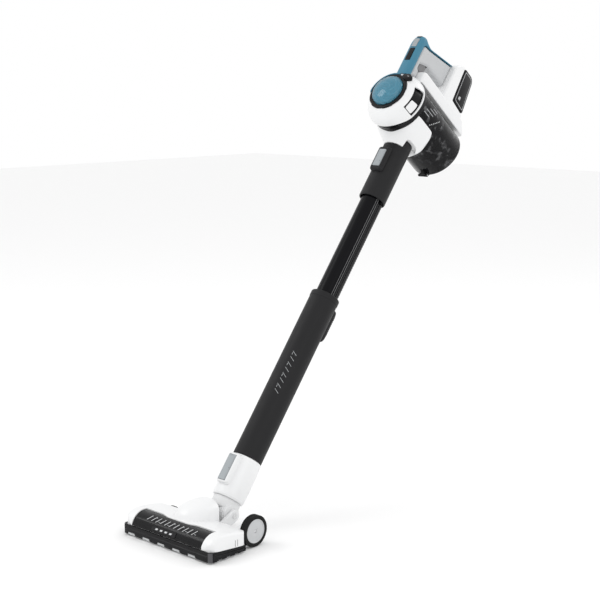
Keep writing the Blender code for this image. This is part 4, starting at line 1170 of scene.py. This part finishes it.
def bin_door():
    """The lid under the bin: a shallow stepped plate with the outer two hinge lugs."""
    plate = mm((3, -125.2), (48.5, -125.2), (56.5, -123), (58.3, -120.5), (58.3, -117), (60.8, -117),
               (60.8, -120), (60.3, -120.6), (60.8, -121.2), (60.6, -123), (58.5, -125.5), (50, -128),
               (38, -128), (37, -127.4), (35, -127.4), (34, -128), (3, -128))
    lid = turned("bin_door", plate, "smoked", CYCLONE, count=128, hollow=False, radius=0.0003)
    outline = hinge_lug((-0.059, -0.118), (-0.059, -0.122))
    join(lid, *[side_prism("lug", outline, side * 0.0055, side * 0.0115, "smoked", CYCLONE)
                for side in (-1, 1)])
    cut(lid, bore(0.0018, -0.02, 0.02, across(CYCLONE, *LID_PIN), 24))
    publish(lid, "lid", "smoked", "bin_lid")


def shroud():
    """The mesh funnel inside the bin, with its ribs and hoops."""
    skin = mm((31, 20), (31, -30), (24, -70), (22.2, -70), (29.2, -30), (29.2, 20))
    screen = turned("shroud_screen", skin, "screen", CYCLONE, count=96)
    publish(screen, "handheld", "steel", "mesh_shroud")
    ribs = []
    for k in range(6):
        home = CYCLONE @ turned_by(20 + 60 * k, "Z")
        ribs.append(bar("rib", (0.0312, -0.0009, -0.028), (0.0324, 0.0009, 0.018), "gloss_black", home))
    for z in (-0.029, -0.006, 0.017):
        hoop = [(0.0312, z), (0.0326, z + 0.0004), (0.0326, z + 0.0018), (0.0312, z + 0.0022)]
        ribs.append(turned("hoop", hoop, "gloss_black", CYCLONE, count=96, radius=0))
    publish(gather("shroud_ribs", ribs), "handheld", "gloss_black")


def on_bin(degrees, height):
    """A frame lying on the dust bin: x along it, y round it, z outwards."""
    place = Matrix.Translation((BIN_RADIUS + 0.00003, 0, height))
    return CYCLONE @ turned_by(degrees, "Z") @ place @ turned_by(90, "Y")


def bin_strokes():
    """Plain slanted strokes printed on the bin: four long ones and a row of short ones."""
    marks = []
    for turn, height, half in ((-2, 0.028, 11), (7, 0.02, 14), (16, 0.01, 12), (25, 0.0, 9)):
        shape = (-half, half, 1.4 - half, 1.4 + half, -1, 1)
        marks.append(mark(shape, 0.15, "dim_print", on_bin(turn, height)))
    for k in range(7):
        home = on_bin(-12 + 4.2 * k, 0.002 - 0.004 * k)
        marks.append(mark((-1.6, 1.6, -1, 2.2, -0.8, 0.8), 0.15, "light_print", home))
    publish(gather("bin_strokes", marks), "bin", "silver")


def housing():
    """White moulding behind the dust bin: the spine and the battery's seat, with soft fillets."""
    def section(back):
        return rounded_box((-SPINE_HALF, -0.058), (SPINE_HALF, back), 0.009)

    levels = ((0.144, 1.018), (0.144, 1.023), (0.124, 1.045))
    spine = loft("rear_housing", [flat_ring(section(back), z) for back, z in levels], "white", WAND)
    shape = mm((30.1, 1038), (120, 1038), (115, 1059), (66.5, 1063), (59.5, 1148), (45, 1147), (30.1, 1133))
    join(spine, side_loft("seat", [(offset(shape, 0.003), 0.03), (shape, 0.0265)], "white", WAND))
    melt(spine, 0.0013, 7)
    pack = mm((66.6, 1063.6), (126, 1059), (101, 1160), (59.2, 1160))
    pack_room = side_prism("pack_room", pack, -0.04, 0.04, "white", WAND)
    cut(spine, bore(0.0637, -0.13, 0.07, CYCLONE), pack_room)
    publish(spine, "handheld", "white", "spine_housing", "battery_housing")


def grips():
    """The handle, cut along the middle into two halves."""
    outline = mm((-80, 1020.2), (-73.5, 1022.8), (-66.5, 1024), (-58.3, 1024), (-58.3, 1044.7),
                 (-65.5, 1049), (-65.5, 1060), (-42, 1071.6), (29.8, 1071.6), (29.8, 1129), (-56, 1106),
                 (-74, 1103.5), (-80, 1097))
    stations = [(offset(outline, 0.005), 0.016), (offset(outline, 0.0016), 0.013), (outline, 0.008)]
    # The grip look darkens the white handle: painted shade.
    whole = melt(side_loft("handle_whole", stations, "grip", WAND), 0.0011, 6)
    cut(whole, bar("trigger_room", (-0.0112, -0.0648, 1.0465), (0.0112, -0.0375, 1.086), "grip", WAND))
    for side, name in SIDES:
        half = link(f"grip_{name}", whole.data.copy())
        near, far = sorted((-side * 0.05, side * GAP / 2))
        cut(half, bar("other_half", (near, -0.2, 0.9), (far, 0.2, 1.3), "grip", WAND))
        publish(half, "handheld", "white", f"handle_{name}")
    bpy.data.objects.remove(whole, do_unlink=True)


def handle():
    """The grip halves, the trigger under the arm and three screws in the left side."""
    grips()
    shape = mm((-64.2, 1060), (-64, 1047.4), (-54.5, 1048.4), (-44.5, 1050.5), (-41, 1055.2), (-39, 1060.5),
               (-39.6, 1065.5), (-41, 1070), (-44, 1074), (-48, 1076), (-60, 1076))
    stations = [(offset(shape, 0.0014), 0.0106), (shape, 0.0088)]
    publish(side_loft("trigger_key", stations, "mid_grey", WAND), "trigger", "grey", "trigger")
    screws = []
    profile = mm((0.6, 0.4), (0.8, 0.8), (1.9, 1.1), (2.3, 0.8), (2.3, -0.6))
    for y, z in ((-0.0725, 1.034), (-0.03, 1.08), (0.018, 1.08)):
        home = WAND @ Matrix.Translation((-0.015, y, z)) @ turned_by(-90, "Y")
        screws.append(turned("screw", profile, "steel", home, count=24, hollow=False, radius=0))
    publish(gather("grip_screws", screws), "handheld", "steel")


def arm_cap():
    """The blue cover over the front of the handle: its crown rises from a foot towards the middle."""
    base = mm((-80.3, 1020), (-80.3, 1097.5), (-74.3, 1104), (-56.3, 1106.5), (29, 1129.5))
    crown = mm((-94, 1012.5), (-94.5, 1099), (-90.5, 1119), (-82, 1122.5), (-74, 1118), (-57, 1109.6),
               (29, 1131.7))
    foot = [base[0], base[1], base[1], base[2], base[2], base[3], base[4]]
    stations = []
    for half, rise in ((0.0163, 0.25), (0.0163, 0.4), (0.0157, 0.55), (0.0148, 0.66), (0.013, 0.79),
                       (0.0105, 0.88), (0.007, 0.945), (0.0035, 0.97)):
        outer = [(y + (far_y - y) * rise, z + (far_z - z) * rise)
                 for (y, z), (far_y, far_z) in zip(foot, crown)]
        stations.append((round_profile(outer, 0.006, 6, closed=False) + base[::-1], half))
    return side_loft("arm_cap", stations, "blue", WAND, sharp=50)


def cover():
    """The blue arm cover with the power key, the status panel and the dark tip at its top."""
    made = arm_cap()
    keys = (("power_key", 1.05, 1.083, "gloss_black", "power_mode", "mode_button", "gloss_black"),
            ("status_panel", 1.087, 1.1085, "silver", "handheld", "display_window", "grey"))
    half, front = 0.0066, -0.095
    cut(made, *[key_room(half, low, high, -0.1, -0.0905) for _, low, high, *_ in keys])
    publish(made, "handheld", "blue", "arm_cover")
    steps = ((-0.0921, 0.0), (-0.0944, 0.0), (-0.0949, 0.0005), (front, 0.0014))
    for name, low, high, look, body, cad, slot in keys:
        key = eased_block(name, half, low, high, steps, lambda inset: 0.0018, look)
        publish(key, body, slot, cad)
    tip = mm((-91.8, 1113.8), (-89.8, 1116.8), (-85.6, 1118.8), (-81.5, 1119.4), (-81.5, 1121),
             (-86.2, 1120.3), (-90.6, 1117.9), (-92.8, 1114.3))
    publish(side_prism("arm_cap_tip", tip, -0.005, 0.005, "dark_grey", WAND), "handheld", "gloss_black")


def battery_lines(shape):
    """A thin frame and a charge gauge printed on each side of the pack."""
    outer, inner = (round_profile(offset(shape, inset), 0.004, 6) for inset in (0.005, 0.0059))
    lines = []
    for side in (-1, 1):
        near, far = side * 0.0292, side * 0.02965
        turns = ((outer, near), (outer, far), (inner, far), (inner, near))
        rings = [side_ring(outline, x) for outline, x in turns]
        lines.append(loft("line", rings, "light_print", WAND, tube=True))
        for k in range(3):
            y = 0.079 + 0.0026 * k
            cell = rounded_box((y, 1.077), (y + 0.0018, 1.084 + 0.0008 * k), 0.0004)
            lines.append(side_prism("cell", cell, near, far, "light_print", WAND))
    publish(gather("battery_lines", lines), "battery", "silver")


def battery():
    """The battery pack with its printed lines and its release key on top."""
    shape = mm((66.9, 1064), (114, 1059.8), (101, 1139), (93, 1147), (60.2, 1147.5))
    soft = round_profile(shape, 0.006, 6)
    stations = [(offset(soft, 0.0022), 0.0295), (offset(soft, 0.0006), 0.0288), (soft, 0.0275)]
    pack = side_loft("battery_case", stations, "gloss_black", WAND, sharp=30)
    room = bar("room", (-0.0094, 0.0716, 1.142), (0.0094, 0.0884, 1.16), "gloss_black", WAND, 0.0016)
    cut(pack, room)
    publish(pack, "battery", "gloss_black", "battery_pack")
    battery_lines(shape)
    key = []
    for z, drop in ((1.1446, 0.0), (1.1484, 0.0), (1.149, 0.0008)):
        outline = rounded_box((-0.009 + drop, 0.072 + drop), (0.009 - drop, 0.088 - drop), 0.0016)
        key.append(flat_ring(outline, z))
    publish(loft("battery_key", key, "dark_grey", WAND), "battery_release", "grey", "battery_button")


# ---------------------------------------------------------------- stage

def dress_cad_nodes():
    """Gives every CAD node that stays in view the look of its material slot."""
    for cad in frame["nodes"].values():
        for place in cad.material_slots:
            if place.material and place.material.name in LOOKS:
                place.material = LOOKS[place.material.name]


def stand(made, place, way):
    """Puts a light or camera at a place, facing a way."""
    made.location = place
    made.rotation_mode = "QUATERNION"
    made.rotation_quaternion = way.to_track_quat("-Z", "Y")
    made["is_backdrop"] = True


def light(name, place, aim, size, power):
    data = bpy.data.lights.new(name, "AREA")
    data.shape = "RECTANGLE"
    data.size, data.size_y = size
    data.energy = power
    stand(link(name, data), place, Vector(aim) - Vector(place))


def floor():
    half, drop = 9, -0.0004
    mesh = bpy.data.meshes.new("floor")
    corners = [(-half, -half, drop), (half, -half, drop), (half, half, drop), (-half, half, drop)]
    mesh.from_pydata(corners, [], [(0, 1, 2, 3)])
    look = bpy.data.materials.new("floor_paint")
    look.use_nodes = True
    shader = look.node_tree.nodes["Principled BSDF"]
    shader.inputs["Base Color"].default_value = (0.94, 0.94, 0.94, 1)
    shader.inputs["Roughness"].default_value = 0.9
    shader.inputs["Specular IOR Level"].default_value = 0.1
    mesh.materials.append(look)
    link("floor", mesh)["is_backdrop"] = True


def studio():
    world = bpy.data.worlds.new("studio")
    world.use_nodes = True
    sky = world.node_tree.nodes["Background"]
    sky.inputs["Color"].default_value = (1, 1, 1, 1)
    sky.inputs["Strength"].default_value = 1.0
    bpy.context.scene.world = world
    bpy.context.scene.view_settings.view_transform = "Standard"
    light("key", (-1.9, -1.7, 2.6), (0, 0, 0.45), (1.4, 1.4), 16)
    light("fill", (2.4, -1.2, 1.5), (0, 0, 0.5), (1.0, 1.6), 5)
    light("back", (0.8, 2.3, 2.2), (0, 0, 0.5), (1.4, 1.0), 8)


def camera():
    """In front on the right and a little above, aimed near the middle of the leaning wand."""
    low = CAD_BOX[0]
    turn, lift, reach = math.radians(42.407), math.radians(9.901), 2.5901
    aim = Vector((0, low.y + 0.3791, low.z + 0.4291))
    back = Vector((math.sin(turn) * math.cos(lift), -math.cos(turn) * math.cos(lift), math.sin(lift)))
    data = bpy.data.cameras.new("camera")
    data.lens, data.sensor_width = 75.8, 36.0
    data.clip_start, data.clip_end = 0.05, 60
    made = link("camera", data)
    stand(made, aim + back * reach, -back)
    bpy.context.scene.camera = made


dress_cad_nodes()
for build in (head_cover, clear_window, bumper, bumper_corner_highlights, brush, wheels, hinge_arms, tray_details,
              knuckle, neck, lower_wand, upper_wand,
              inlet, cyclone_group, filter_cap, dust_bin, bin_door, shroud, bin_strokes, housing, handle,
              cover, battery,
              floor, studio, camera):
    build()

boxes = {"cad": CAD_BOX, "visual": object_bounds()}
{name: [list(corner) for corner in box] for name, box in boxes.items()}
